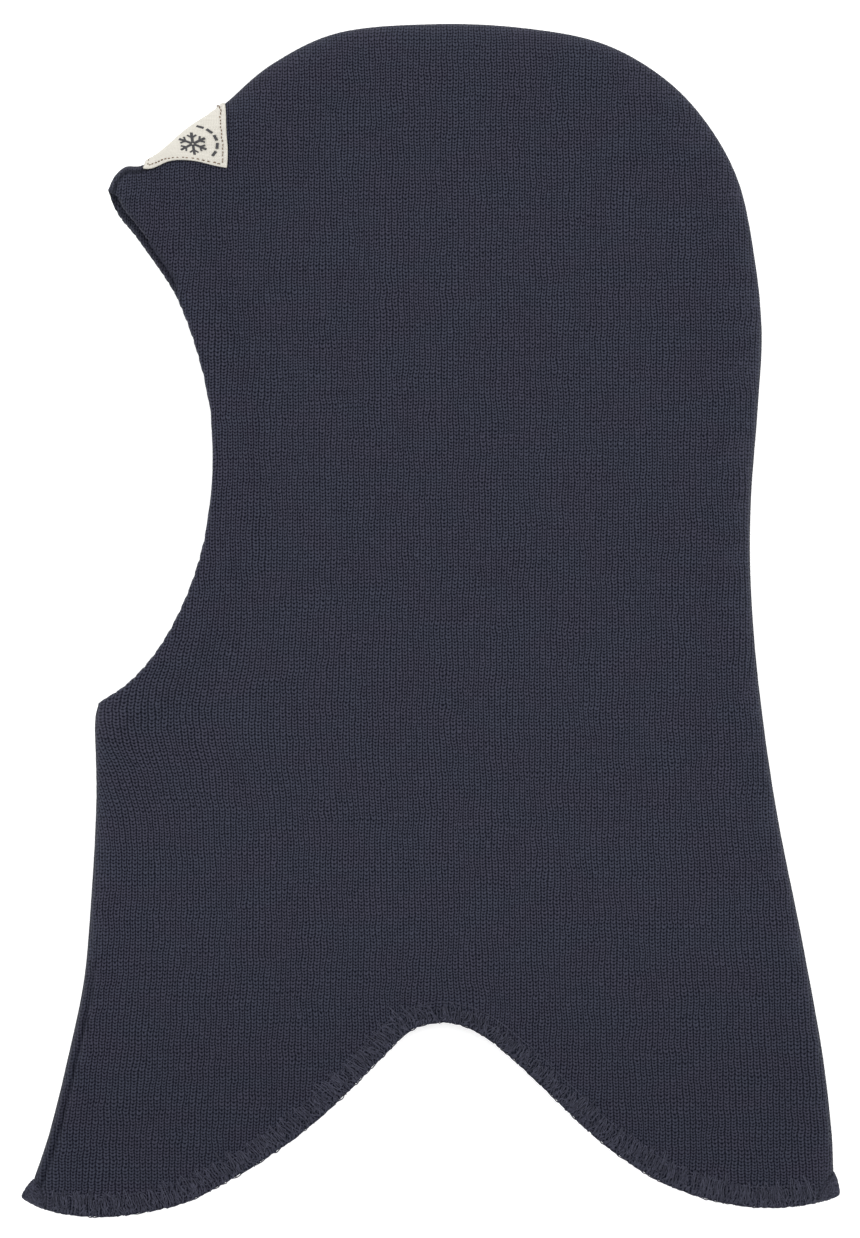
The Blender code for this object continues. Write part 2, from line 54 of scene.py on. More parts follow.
# Fabric stack, as in the design: faces are numbered 0 to 7 from the table up, so that the right
# side has 0 to 3 and the left side 4 to 7.
UP_FACES = (3, 7)  # the faces that show and look up
FABRIC = 1.2
HEM_FABRIC = 0.8
CLEARANCE = 0.3
HOOD_CAVITY = 11.0  # room between the linings
NECK_CAVITY = 7.0
FACE_CAVITY = 5.5
HOOD_EDGE_RADIUS = 12.0
NECK_EDGE_RADIUS = 7.0
LINING_INSET = 8.0
LINING_REACH = 6.2  # the lining comes this much nearer the seams at the open edges
SEAM_CLOSE = 0.06  # the two sides are drawn this far past each other at a seam
FACE_SEAM_ROOM = 1.3  # the layers stand this much further apart at the face edge's stitching
FACE_SEAM_BAND = 6.5  # which reaches this far in
LINING_EDGE_LESS = 3.0  # the lining's seamed edges are tighter by this much
FACE_TURN = 2.0  # the turned face edge is rounded over this far in
FACE_FOLD = 1.1  # and its plain faces meet this far inside it
HAIRLINE = 0.03  # half of what is left between a panel's faces there
HEM_BAND = 6.8  # the cloth is squeezed to HEM_FABRIC this far in from the hem
HEM_LIFT = 0.9  # and is this far off the table, with the overlock under it
HEM_DEPTH = 6.2  # how far in from the edge the overlock reaches
HEM_WRAP = 0.4  # the overlock stands this far out from the raw edge
LABEL_CENTRE = (-65.2, 130.9)

# The knit.
WALE = 1.47  # from one rib to the next
COURSE = 0.90  # one stitch along a rib
RIB_SAMPLES = 4  # mesh columns for each rib
RIB_RISE = (-0.20, 0.08, 0.03, 0.08)  # heights at equal steps across one rib, from its groove
ROW_STEP = 1.9  # mesh rows along a rib
PLAIN_ROW_STEP = 7.0  # the same on the faces that don't show
PLAIN_SAMPLES = 0.22
WELD = 0.3  # the two faces of a panel join where they come this near at its edge
LATTICE_HALF_WIDTH = 125.0  # ribs are laid out a little past the hat on every side
LATTICE_HALF_HEIGHT = 165.0

CROWN_AND_BACK = [
    (-86.4, 115.6), (-84.6, 119.2), (-81.6, 121.7), (-77.6, 122.0), (-73.6, 124.2), (-66.4, 129.9),
    (-60.0, 134.5), (-54.0, 139.2), (-42.0, 149.5), (-24.0, 157.8), (2.5, 160.0), (26.0, 158.8),
    (46.0, 154.8), (62.0, 145.9), (73.6, 134.0), (82.2, 118.6), (86.4, 100.0), (88.7, 78.0),
    (87.5, 55.0), (85.8, 32.0), (85.8, 10.0), (88.0, -17.0), (92.7, -50.0), (99.6, -85.0),
    (105.0, -115.0), (107.5, -136.0), (108.1, -147.6)]
HEM = [
    (103.2, -156.1), (90.0, -156.8), (80.0, -155.8), (70.0, -153.3), (58.0, -148.0), (44.0, -138.0),
    (30.0, -124.7), (19.0, -114.7), (10.5, -109.1), (2.5, -107.5), (-5.5, -109.9), (-13.0, -117.0),
    (-24.0, -127.9), (-37.0, -138.9), (-52.0, -148.6), (-67.0, -155.9), (-86.0, -159.2), (-103.0, -158.0)]
BIB = [
    (-106.3, -149.6), (-102.0, -136.5), (-97.3, -117.4), (-92.9, -96.0), (-90.8, -72.0),
    (-89.6, -48.0), (-89.9, -28.0), (-89.0, -21.9)]
FACE = [
    (-89.0, -21.9), (-80.2, -15.9), (-72.0, -6.2), (-65.1, 7.0), (-60.4, 22.0), (-58.5, 38.0),
    (-58.6, 54.0), (-61.9, 70.5), (-68.1, 87.0), (-78.2, 102.2), (-83.9, 109.4), (-86.4, 115.6)]


# ---- curves in plan
def dense_curve(points, per_span=60):
    """Catmull-Rom curve through the points, finely sampled."""
    points = np.array(points)
    knots = np.array([2 * points[0] - points[1], *points, 2 * points[-1] - points[-2]])
    samples = []
    for before, start, end, after in zip(knots, knots[1:], knots[2:], knots[3:]):
        t = (np.arange(per_span) / per_span)[:, None]
        bend = 2 * before - 5 * start + 4 * end - after
        twist = 3 * start - before - 3 * end + after
        samples.append(0.5 * (2 * start + (end - before) * t + bend * t ** 2 + twist * t ** 3))
    return np.concatenate([*samples, [knots[-2]]])


def arc_lengths(curve):
    return np.concatenate([[0.0], np.cumsum(np.linalg.norm(np.diff(curve, axis=0), axis=1))])


def inward_normals(curve):
    """Unit normals to the right of travel: they point into the outline, which runs clockwise."""
    along = np.gradient(curve, axis=0)
    along /= np.linalg.norm(along, axis=1)[:, None]
    return np.stack([along[:, 1], -along[:, 0]], axis=1)


def plan_tree(points):
    tree = KDTree(len(points))
    for k, (x, y) in enumerate(points):
        tree.insert((x, y, 0.0), k)
    tree.balance()
    return tree


class Run:
    """One stretch of the outline, with fast distances to it and places along it."""

    def __init__(self, points):
        self.curve = dense_curve(points) if len(points) > 2 else np.linspace(points[0], points[1], 20)
        self.lengths = arc_lengths(self.curve)
        self.length = self.lengths[-1]
        self.normals = inward_normals(self.curve)
        self.tree = plan_tree(self.curve)

    def at(self, along):
        """Points and inward normals at distances along the run."""
        columns = [*self.curve.T, *self.normals.T]
        x, y, normal_x, normal_y = [np.interp(along, self.lengths, values) for values in columns]
        normals = np.stack([normal_x, normal_y], axis=1) / np.hypot(normal_x, normal_y)[:, None]
        return np.stack([x, y], axis=1), normals

    def spread(self, step):
        """Evenly spaced points and normals from end to end."""
        count = max(2, round(self.length / step) + 1)
        return self.at(np.linspace(0.0, self.length, count))

    def distance(self, points):
        """Distance from each plan point to the run."""
        nearest = np.array([self.tree.find((x, y, 0.0))[1] for x, y in points])
        best = np.full(len(points), 1e9)
        for shift in (-1, 0):
            first = np.clip(nearest + shift, 0, len(self.curve) - 2)
            start = self.curve[first]
            span = self.curve[first + 1] - start
            offset = points - start
            t = np.clip((offset * span).sum(1) / np.maximum((span ** 2).sum(1), 1e-12), 0.0, 1.0)
            best = np.minimum(best, np.linalg.norm(offset - t[:, None] * span, axis=1))
        return best


def set_in(points, amount):
    """The points of a run moved inward."""
    points = np.array(points)
    return points + inward_normals(points) * amount


CROWN_RUN = Run(CROWN_AND_BACK)
HEM_RUN = Run(set_in(HEM, HEM_WRAP))
BIB_RUN = Run(BIB)
FACE_RUN = Run(FACE)
CORNER_BACK = Run([CROWN_RUN.curve[-1], HEM_RUN.curve[0]])
CORNER_FRONT = Run([HEM_RUN.curve[-1], BIB_RUN.curve[0]])
SEAMS = [CROWN_RUN, CORNER_BACK, CORNER_FRONT, BIB_RUN]
RUNS = [CROWN_RUN, CORNER_BACK, HEM_RUN, CORNER_FRONT, BIB_RUN, FACE_RUN]
FULL_OUTLINE = np.concatenate([run.spread(0.8)[0][:-1] for run in RUNS])


def seam_distance(points):
    """Distance to the nearest of the seamed edges."""
    return np.min([run.distance(points) for run in SEAMS], axis=0)


def open_distance(points):
    """Distance to the nearer of the two open edges, the face and the hem."""
    return np.minimum(FACE_RUN.distance(points), HEM_RUN.distance(points))


def fade(t):
    """0 below 0, 1 above 1, smooth in between."""
    t = np.clip(t, 0.0, 1.0)
    return t * t * (3 - 2 * t)


def lining_inset(to_open):
    """How far the lining's rim lies inside the outer's, by the distance to an open edge."""
    return LINING_INSET - LINING_REACH * (1 - fade((to_open - 2) / 9))


def neck_to_hood(y, neck, hood):
    """A size that changes from the neck to the hood."""
    return neck + (hood - neck) * fade((y + 60) / 90)


def edge_radius(y):
    """How round the seamed edges are."""
    return neck_to_hood(y, NECK_EDGE_RADIUS, HOOD_EDGE_RADIUS)


def soft_noise(x, y, wavelength, seed, waves=9):
    """Smooth noise from -1 to 1 in the plan, about one swell per wavelength."""
    draw = np.random.default_rng(seed)
    total = np.zeros_like(x)
    for _ in range(waves):
        heading = draw.uniform(0, math.tau)
        stretch = draw.uniform(0.7, 1.5)
        along = x * math.cos(heading) + y * math.sin(heading)
        total += np.sin(math.tau / wavelength * stretch * along + draw.uniform(0, math.tau))
    return total / math.sqrt(waves * 2)


# ---- heights of the fabric faces
def brow_peek(y):
    """How far the left side's face edge falls short of the right side's, under the brow."""
    return 2.1 * fade((y - 84) / 8) * fade((115.6 - y) / 3)


class Place:
    """The plan points of one piece on one side of the hat, with what its heights depend on."""

    def __init__(self, points, left, to_seam=None):
        self.points = np.asarray(points, float)
        self.to_seam = seam_distance(self.points) if to_seam is None else np.array(to_seam)
        self.to_bib = BIB_RUN.distance(self.points)
        self.to_hem = HEM_RUN.distance(self.points)
        peek = brow_peek(self.points[:, 1]) if left else 0.0
        self.to_face = np.maximum(FACE_RUN.distance(self.points) - peek, 0.0)
        self.lining_inset = lining_inset(np.minimum(self.to_face, self.to_hem))
        self.flats = self.flat_faces()

    def flat_faces(self):
        """Heights of the eight faces before they are rounded over, from the table up."""
        x, y = self.points.T
        to_label = np.hypot(x - LABEL_CENTRE[0], y - LABEL_CENTRE[1])
        squeeze = 1 - fade((self.to_hem - HEM_BAND) / 4)
        layer = FABRIC + (HEM_FABRIC - FABRIC) * squeeze
        between = CLEARANCE + FACE_SEAM_ROOM * (1 - fade((self.to_face - FACE_SEAM_BAND) / 7.5))
        open_room = neck_to_hood(y, NECK_CAVITY, HOOD_CAVITY)
        cavity = FACE_CAVITY + (open_room - FACE_CAVITY) * fade(self.to_face / 40)
        swell = 0.55 * soft_noise(x, y, 62.0, 11) + 0.22 * soft_noise(x, y, 24.0, 12)
        cavity = cavity + swell * fade(self.to_seam / 25)
        arch = fade((34 - np.abs(x - 3)) / 18) * (1 - fade(self.to_hem / 6.5))
        cavity = cavity - 1.5 * arch
        hem_lift = HEM_LIFT * (1 - fade((self.to_hem - HEM_BAND) / 5))
        label_lift = 1.9 * (1 - fade((to_label - 16) / 14))
        steps = [hem_lift + label_lift, layer, between, layer, cavity, layer, between, layer]
        return np.cumsum(steps, axis=0)

    def height(self, face):
        """Height of one fabric face, rounded over at the seams and at the turned face edge."""
        lining = face in (2, 3, 4, 5)
        thickness = FABRIC if face in (1, 3, 4, 6) else 0.0
        inset = thickness + (self.lining_inset if lining else 0.0)
        radius = edge_radius(self.points[:, 1]) - thickness - (LINING_EDGE_LESS if lining else 0.0)
        flats = self.flats
        pair = (flats[4] + flats[7]) / 2 if face >= 4 else (flats[0] + flats[3]) / 2
        fold = 0.0 if face in (0, 3, 4, 7) else FACE_FOLD
        turn_depth = np.clip((self.to_face - fold) / FACE_TURN, 0.0, 1.0)
        hairline = HAIRLINE if face in (2, 3, 6, 7) else -HAIRLINE
        level = pair + hairline + (flats[face] - pair - hairline) * np.sqrt(1 - (1 - turn_depth) ** 2)
        middle = (flats[0] + flats[7]) / 2
        rim = middle + (-SEAM_CLOSE if face >= 4 else SEAM_CLOSE)
        edge_depth = np.clip((self.to_seam - inset) / radius, 0.0, 1.0)
        height = rim + (level - rim) * np.sqrt(1 - (1 - edge_depth) ** 2)
        if face == 7:
            # The bib's edge is pressed into a crease beside its seam.
            bib_roll = fade((-86 - self.points[:, 1]) / 22)
            height = height - bib_roll * np.exp(-((self.to_bib - 2.6) / 0.55) ** 2)
        return height


# ---- which way the ribs run
def rib_bend(u, y):
    """How far a rib that belongs at u lies to the side of it, at height y."""
    chin = -4.0 * np.exp(-((y + 24) / 26) ** 2) * np.exp(-np.maximum(u + 88, 0) / 30)
    chin = chin - 9.5 * np.exp(-((y + 25) / 15) ** 2) * np.exp(-np.maximum(u + 88, 0) / 26)
    bib = -8.0 * fade((-62 - y) / 95) * np.exp(-np.maximum(u + 98, 0) / 42)
    back = 7.0 * fade((-10 - y) / 150) * np.exp(-np.maximum(98 - u, 0) / 42)
    brow = 3.0 * fade((y - 84) / 34) * np.exp(-np.maximum(u + 84, 0) / 16)
    from_arch = u - 3.0
    near_arch = np.exp(-((y + 103) / 5.5) ** 2) * np.exp(-((np.abs(from_arch) - 8) / 7) ** 2)
    arch = 1.1 * np.tanh(from_arch / 3) * near_arch
    wander = 0.30 * soft_noise(u * 2.5, y, 34.0, 21) + 0.10 * soft_noise(u * 3.0, y, 9.0, 22)
    return chin + bib + back + brow + arch + wander


def rib_place(x, y):
    """The u of the rib that passes through a plan point."""
    u = np.array(x, float)
    for _ in range(16):
        u = x - rib_bend(u, y)
    return u


def rib_relief(u):
    """Height of the rib pattern across the ribs: a groove between wales, a shallow one down each."""
    phase = (u / WALE) % 1.0 * len(RIB_RISE)
    return np.interp(phase, np.arange(len(RIB_RISE) + 1), [*RIB_RISE, RIB_RISE[0]])


def painted_shade(place, shown):
    """Painted shade: how much darker the cloth is drawn at its rims where it turns away, the bib's
    crease, the arch, the brow and towards the hem.
    """
    x, y = place.points.T
    # painted shade at the seamed rims, where the cloth turns away, easing off near the hem
    shade = 0.40 * np.exp(-place.to_seam / 0.45) * fade((place.to_hem - 3) / 6)
    # a painted fall-off of the light towards the hem, and painted shade under the overlock band
    shade += 0.15 * fade((-55 - y) / 85) + 0.06 * fade((HEM_DEPTH - place.to_hem) / 3.0)
    if shown == 7:
        # painted shade in the bib's crease beside its seam, and at the arch where the hem rolls under
        bib_roll = fade((-82 - y) / 20)
        shade += bib_roll * 0.55 * np.exp(-((place.to_bib - 2.7) / 0.30) ** 2)
        shade += bib_roll * 0.12 * fade((2.9 - place.to_bib) / 0.4)
        shade += 0.20 * arch_roll(x) * fade((4.2 - place.to_hem) / 1.5)
        # a painted shade line along a fold at the brow's tip
        brow_tip = fade((y - 107) / 4) * fade((-73 - x) / 3)
        shade += brow_tip * 1.1 * np.exp(-((CROWN_RUN.distance(place.points) - 1.8) / 0.50) ** 2)
        # painted shade over the brow's face edge, where its rounding would catch the light
        shade += 0.35 * fade((y - 84) / 8) * fade((0.9 - place.to_face) / 0.7)
    if shown == 3:
        # painted shade on the lower layer that peeks out under the brow
        shade += 0.40 * fade((4.0 - place.to_face) / 2)
    return np.clip(shade, 0.0, 0.85)


def arch_roll(x):
    """1 where the hem rolls under, over the arch and down its back side; 0 elsewhere."""
    return fade((x + 6) / 8) * fade((40 - x) / 10)


# ---- plan meshes
def inside(points, outline):
    """Which points lie inside a polygon."""
    found = np.zeros(len(points), bool)
    x, y = points.T
    for (x0, y0), (x1, y1) in zip(outline, np.roll(outline, -1, axis=0)):
        if y0 == y1:
            continue
        crosses = (y0 > y) != (y1 > y)
        found ^= crosses & (x < x0 + (y - y0) / (y1 - y0) * (x1 - x0))
    return found


def seam_rim(run, places, normals, lining, step):
    """The rim of a panel along one seam, and how far inside the seam it lies."""
    if not lining:
        return places, np.zeros(len(places))
    if run in (CORNER_BACK, CORNER_FRONT):
        return places[:0], np.zeros(0)
    inset = lining_inset(open_distance(places))
    places = places + normals * inset[:, None]
    kept = inside(places, FULL_OUTLINE) & (open_distance(places) > 0.6 * step)
    kept &= seam_distance(places) > inset - 0.15
    return places[kept], inset[kept]


def panel_outline(step, lining, left):
    """The boundary of one panel in the plan, and the seam distance at each of its points."""
    points = []
    insets = []
    for run in RUNS:
        places, normals = run.spread(step)
        if run in SEAMS:
            places, to_seam = seam_rim(run, places, normals, lining, step)
        else:
            if run is FACE_RUN and left:
                places = places + normals * brow_peek(places[:, 1])[:, None]
            to_seam = seam_distance(places)
            kept = to_seam > (Place(places, left).lining_inset if lining else 0.3 * step)
            places, to_seam = places[kept], to_seam[kept]
        points.append(places)
        insets.append(to_seam)
    return np.concatenate(points), np.concatenate(insets)


def rib_lattice(outline, row_step, samples):
    """Plan points in columns that follow the ribs, inside an outline."""
    columns = np.arange(-LATTICE_HALF_WIDTH, LATTICE_HALF_WIDTH, WALE / samples)
    rows = np.arange(-LATTICE_HALF_HEIGHT, LATTICE_HALF_HEIGHT, row_step)
    u, y = [grid.ravel() for grid in np.meshgrid(columns, rows)]
    x = u + rib_bend(u, y)
    points = np.stack([x, y], axis=1)
    return points[inside(points, outline)]


def triangulate(outline, interior, clearance):
    """Triangles over an outline and the interior points that stand a little clear of it."""
    tree = plan_tree(outline)
    gaps = np.array([tree.find((x, y, 0.0))[2] for x, y in interior])
    interior = interior[gaps > clearance]
    points = np.concatenate([outline, interior])
    loop = list(range(len(outline)))
    _, _, faces, origins, _, _ = delaunay_2d_cdt(
        [tuple(p) for p in points], list(zip(loop, loop[1:] + loop[:1])), [loop[::-1]], 1, 1e-6)
    source = np.array([came[0] for came in origins])
    return points, source[np.array([face for face in faces if len(face) == 3])]


def vertex_normals(corners, triangles):
    """Area-weighted unit normals."""
    a, b, c = (corners[triangles[:, k]] for k in range(3))
    normals = np.zeros_like(corners)
    np.add.at(normals, triangles, np.cross(b - a, c - a)[:, None])
    return normals / np.maximum(np.linalg.norm(normals, axis=1), 1e-12)[:, None]


def mesh_object(name, corners, faces, material):
    """A mesh object from corners in millimetres."""
    mesh = bpy.data.meshes.new(name)
    mesh.from_pydata((np.array(corners) * MM).tolist(), [], faces)
    mesh.materials.append(material)
    mesh.shade_smooth()
    mesh.update()
    made = bpy.data.objects.new(name, mesh)
    bpy.context.scene.collection.objects.link(made)
    return made


def stand_in(made, node, body="hat"):
    """Says which body a piece rides on, and hides the node that it is shown for."""
    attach(made, body)
    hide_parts(node)


def cloth_coordinates(mesh, name, u, v):
    """Stores two numbers at each corner under a name, for the cloth's material."""
    layer = mesh.uv_layers.new(name=name)
    corner_vertex = np.zeros(len(mesh.loops), int)
    mesh.loops.foreach_get("vertex_index", corner_vertex)
    values = np.stack([u[corner_vertex], v[corner_vertex]], axis=1).astype(np.float32)
    layer.data.foreach_set("uv", values.ravel())


def fine_rows(outline, samples, row_step, rim):
    """Extra mesh rows where an edge runs across the ribs: at the crown, the face and the hem."""
    rows = rib_lattice(outline, row_step / 3, samples)
    crown = (CROWN_RUN.distance(rows) < rim + 4.0) & (rows[:, 1] > 80.0)
    return rows[(open_distance(rows) < 2.6) | crown]


def place_in(points, insets, left):
    """The places of a panel's points, of which the first lie on its outline."""
    to_seam = seam_distance(points)
    to_seam[:len(insets)] = insets
    return Place(points, left, to_seam)


def ribbed_face(outline, insets, shown, samples, row_step):
    """The face of a panel that shows, with the ribs in relief."""
    rim = LINING_INSET if shown in (3, 4) else 0.0
    lattice = rib_lattice(outline, row_step, samples)
    interior = np.concatenate([lattice, fine_rows(outline, samples, row_step, rim)])
    interior = np.unique(interior.round(4), axis=0)
    points, triangles = triangulate(outline, interior, 0.45 * WALE / samples)
    place = place_in(points, insets, shown >= 4)
    corners = np.column_stack([points, place.height(shown)])
    normals = vertex_normals(corners, triangles) * (1 if shown in UP_FACES else -1)
    # The ribs are half as deep under the overlock, and fade out at the seams.
    calm = 1 - 0.5 * (1 - fade((place.to_hem - 2) / 3))
    calm = calm * (0.15 + 0.85 * fade(place.to_seam / 2.2))
    corners = corners + normals * (rib_relief(rib_place(*points.T)) * calm)[:, None]
    corners[:, 2] = np.maximum(corners[:, 2], 0.0)
    return place, corners, triangles


def plain_face(outline, insets, hidden):
    """The face of a panel that lies against another one: coarse and smooth."""
    lattice = rib_lattice(outline, PLAIN_ROW_STEP, PLAIN_SAMPLES)
    points, triangles = triangulate(outline, lattice, 2.5)
    place = place_in(points, insets, hidden >= 4)
    return place, np.column_stack([points, place.height(hidden)]), triangles


def edge_walls(opposite):
    """Walls between the edge's corners and their opposite ones, with welded corners left out."""
    walls = []
    for k in range(len(opposite)):
        following = (k + 1) % len(opposite)
        wall = [k, following, opposite[following], opposite[k]]
        wall = [corner for j, corner in enumerate(wall) if corner not in wall[:j]]
        if len(wall) > 2:
            walls.append(wall)
    return walls


def fabric_panel(name, shown, hidden, material, samples, row_step):
    """A closed knit panel: a ribbed face that shows and a plain face that doesn't."""
    outline, insets = panel_outline(WALE / samples, shown in (3, 4), shown >= 4)
    place, ribbed, triangles = ribbed_face(outline, insets, shown, samples, row_step)
    plain_place, plain, plain_triangles = plain_face(outline, insets, hidden)
    edge = len(outline)
    opposite = np.arange(len(plain)) + len(ribbed)
    welded = np.abs(plain[:edge, 2] - ribbed[:edge, 2]) < WELD
    opposite[:edge][welded] = np.arange(edge)[welded]
    faces = [*triangles, *opposite[plain_triangles][:, ::-1], *edge_walls(opposite[:edge])]
    if shown not in UP_FACES:
        faces = [face[::-1] for face in faces]
    used = np.unique(np.concatenate(faces))
    renumber = np.zeros(used[-1] + 1, int)
    renumber[used] = np.arange(len(used))
    faces = [tuple(renumber[face]) for face in faces]
    made = mesh_object(name, np.concatenate([ribbed, plain])[used], faces, material)
    x, y = np.concatenate([place.points, plain_place.points])[used].T
    cloth_coordinates(made.data, "knit", rib_place(x, y) / WALE, y / COURSE)
    # painted shade for the knit's colour, none on the face that doesn't show
    shade = np.concatenate([painted_shade(place, shown), np.zeros(len(plain))])[used]
    cloth_coordinates(made.data, "shade", shade, shade)
    return made


# ---- threads
def tube_faces(first, rings, sides):
    """Faces of a closed tube whose corners are numbered ring by ring."""
    index = first + np.arange(rings * sides).reshape(rings, sides)
    beside = np.roll(index, -1, axis=1)
    quads = np.stack([index[:-1], index[1:], beside[1:], beside[:-1]], axis=2).reshape(-1, 4)
    return [*quads.tolist(), index[0].tolist(), index[-1, ::-1].tolist()]


class Threads:
    """Round threads along paths, gathered into one mesh."""

    def __init__(self, diameter, sides=6):
        self.radius = diameter / 2
        self.sides = sides
        self.corners = []
        self.faces = []
        self.tones = []
        self.count = 0

    def add_tube(self, corners, tones, sides):
        """A closed tube, whose corners and their lightness are given ring by ring."""
        self.corners.append(corners)
        self.tones.append(tones)
        self.faces += tube_faces(self.count, len(corners) // sides, sides)
        self.count += len(corners)

    def add(self, path, tone=1.0):
        """One thread along a path of points; tone is its lightness, for all of it or each point."""
        path = np.asarray(path, float)
        heading = np.gradient(path, axis=0)
        heading /= np.maximum(np.linalg.norm(heading, axis=1), 1e-9)[:, None]
        start = np.array([0.0, 0.0, 1.0]) if abs(heading[0][2]) < 0.9 else np.array([1.0, 0.0, 0.0])
        side = np.cross(heading[0], start)
        angles = np.arange(self.sides) * math.tau / self.sides
        rings = []
        for k, point in enumerate(path):
            side = side - heading[k] * np.dot(side, heading[k])
            side /= np.linalg.norm(side)
            up = np.cross(side, heading[k])
            ring = np.outer(np.cos(angles), side) + np.outer(np.sin(angles), up)
            rings.append(point + ring * self.radius)
        tones = np.repeat(np.broadcast_to(tone, len(path)), self.sides)
        self.add_tube(np.concatenate(rings), tones, self.sides)

    def make(self, name, material):
        made = mesh_object(name, np.concatenate(self.corners), self.faces, material)
        tones = np.concatenate(self.tones)
        cloth_coordinates(made.data, "tone", tones, tones)
        return made


STITCH = 1.35  # overlock stitches are this far apart
LOOPER = 0.31  # diameter of the bulky looper threads
NEEDLE = 0.26
NEEDLE_INSIDE = 0.7  # the needle's line lies this far inside the loopers' reach
DEEP = 0.7  # further in than this, a looper leans and its reach varies
LOOPER_LEAN = 0.40  # in stitches
LOOPER_REACH = 0.14  # as a share of how far in it goes
LOOPER_WANDER = 0.26
ARCH_NARROW = 0.20  # the overlock looks narrower by this share where the hem rolls under
TACK_TAILS = 300  # thread tails over a hem corner


def hem_path(left, along, inset, level, lift):
    """Points in space at places along the hem, from the inner face (level 0) to the outer (1)."""
    points, normals = HEM_RUN.at(along)
    points = points + normals * np.asarray(inset)[:, None]
    place = Place(points, left)
    inner = place.height(4 if left else 3)
    outer = place.height(7 if left else 0)
    z = inner + (outer - inner) * level + (1 if left else -1) * np.asarray(lift)
    return np.column_stack([points, np.maximum(z, LOOPER / 2)])


# One stitch of each looper: how far along, how far in, from which face, how far off it. They lean
# over as they cross the band, and cross each other in the middle of it.
UPPER_LOOPER = [
    (0.00, -0.12, 0.7, 0.0), (0.12, 0.6, 1.0, 0.22), (0.40, 2.2, 1.0, 0.26), (0.75, 4.2, 1.0, 0.24),
    (1.10, HEM_DEPTH, 1.0, 0.06), (1.28, HEM_DEPTH - 0.4, 1.0, 0.06), (1.20, 4.4, 1.0, 0.14),
    (1.02, 2.4, 1.0, 0.16), (0.96, 0.5, 1.0, 0.10)]
LOWER_LOOPER = [
    (0.00, 3.6, 0.0, -0.02), (0.16, 2.6, 0.0, -0.22), (0.32, 1.0, 0.0, -0.24), (0.42, -0.05, 0.25, 0.0),
    (0.50, -0.18, 0.70, 0.0), (0.30, 0.9, 1.0, 0.30), (0.05, 2.0, 1.0, 0.34), (0.45, 0.8, 1.0, 0.30),
    (0.68, -0.12, 0.6, 0.0), (0.76, 0.6, 0.0, -0.30), (0.90, 2.4, 0.0, -0.34)]
CROSS_LOOPER = [
    (0.00, 5.2, 1.0, 0.20), (0.10, 4.0, 1.0, 0.34), (-0.20, 2.6, 1.0, 0.34), (0.35, 1.6, 1.0, 0.30),
    (0.70, 2.4, 1.0, 0.22), (0.55, 4.0, 1.0, 0.16)]
EDGE_CHAIN = [(0.0, -0.20, 0.35, 0.0), (0.5, -0.12, 0.8, 0.0)]


def looper_run(left, pattern, seed):
    """A looper thread from end to end of the hem, each stitch a little different."""
    draw = np.random.default_rng(seed)
    rows = []
    for k in range(int(HEM_RUN.length / STITCH)):
        lean = draw.normal(0, LOOPER_LEAN)
        reach = draw.normal(1.0, LOOPER_REACH)
        for ahead, inset, level, lift in pattern:
            wander = draw.normal(0, LOOPER_WANDER, 3)
            deep = inset > DEEP
            along = (k + ahead + lean * deep) * STITCH + wander[0]
            depth = inset * reach + wander[1] if deep else inset + 0.5 * wander[1]
            rows.append((along, depth, level, lift + 0.3 * wander[2]))
    along, inset, level, lift = np.array(rows).T
    along = np.clip(along, 0, HEM_RUN.length)
    rolled = arch_roll(HEM_RUN.at(along)[0][:, 0]) * (inset > DEEP)
    path = hem_path(left, along, inset * (1 - ARCH_NARROW * rolled), level, lift)
    return smooth_path(path, 2), draw


def patchy(count, step, draw):
    """Lightness along a thread, drawn anew every few points."""
    marks = draw.uniform(0.0, 1.0, count // step + 2)
    return np.interp(np.arange(count) / step, np.arange(len(marks)), marks)


def smooth_path(path, rounds):
    """Corner cutting, which keeps the ends."""
    for _ in range(rounds):
        ahead = 0.75 * path[:-1] + 0.25 * path[1:]
        behind = 0.25 * path[:-1] + 0.75 * path[1:]
        middle = np.stack([ahead, behind], axis=1).reshape(-1, 3)
        path = np.concatenate([path[:1], middle, path[-1:]])
    return path


def running_stitch(half, shoulder, dip, rise, crest):
    """Offsets along and up of one stitch, from where it comes out of the cloth to where it dives."""
    along = np.array([-half, -shoulder, 0.0, shoulder, half])
    return along, np.array([-dip, rise, crest, rise, -dip])


def hem_threads(left, material):
    """The overlock of one side: looper threads round the edge and the needle's straight stitches."""
    side = "left" if left else "right"
    loops = Threads(LOOPER, 5)
    for seed, pattern in enumerate((UPPER_LOOPER, LOWER_LOOPER, EDGE_CHAIN, CROSS_LOOPER)):
        path, draw = looper_run(left, pattern, 31 + 10 * seed + left)
        loops.add(path, tone=patchy(len(path), 3, draw))
    overlock = loops.make("hem_overlock_threads_" + side, material)
    stand_in(overlock, "hem_overlock_" + side)

    needle = Threads(NEEDLE, 6)
    stitches = int(HEM_RUN.length / STITCH) - 1
    ahead, lift = running_stitch(0.48, 0.34, dip=0.35, rise=0.04, crest=0.10)
    for k in range(stitches):
        along = (k + 0.5 + ahead) * STITCH
        inset = np.full(5, HEM_DEPTH - NEEDLE_INSIDE) + RANDOM.normal(0, 0.12)
        path = hem_path(left, along, inset, np.ones(5), lift)
        needle.add(smooth_path(path, 1), tone=RANDOM.uniform(0.2, 0.8))
    line = needle.make("hem_needle_stitches_" + side, material)
    stand_in(line, "hem_needle_thread_" + side)


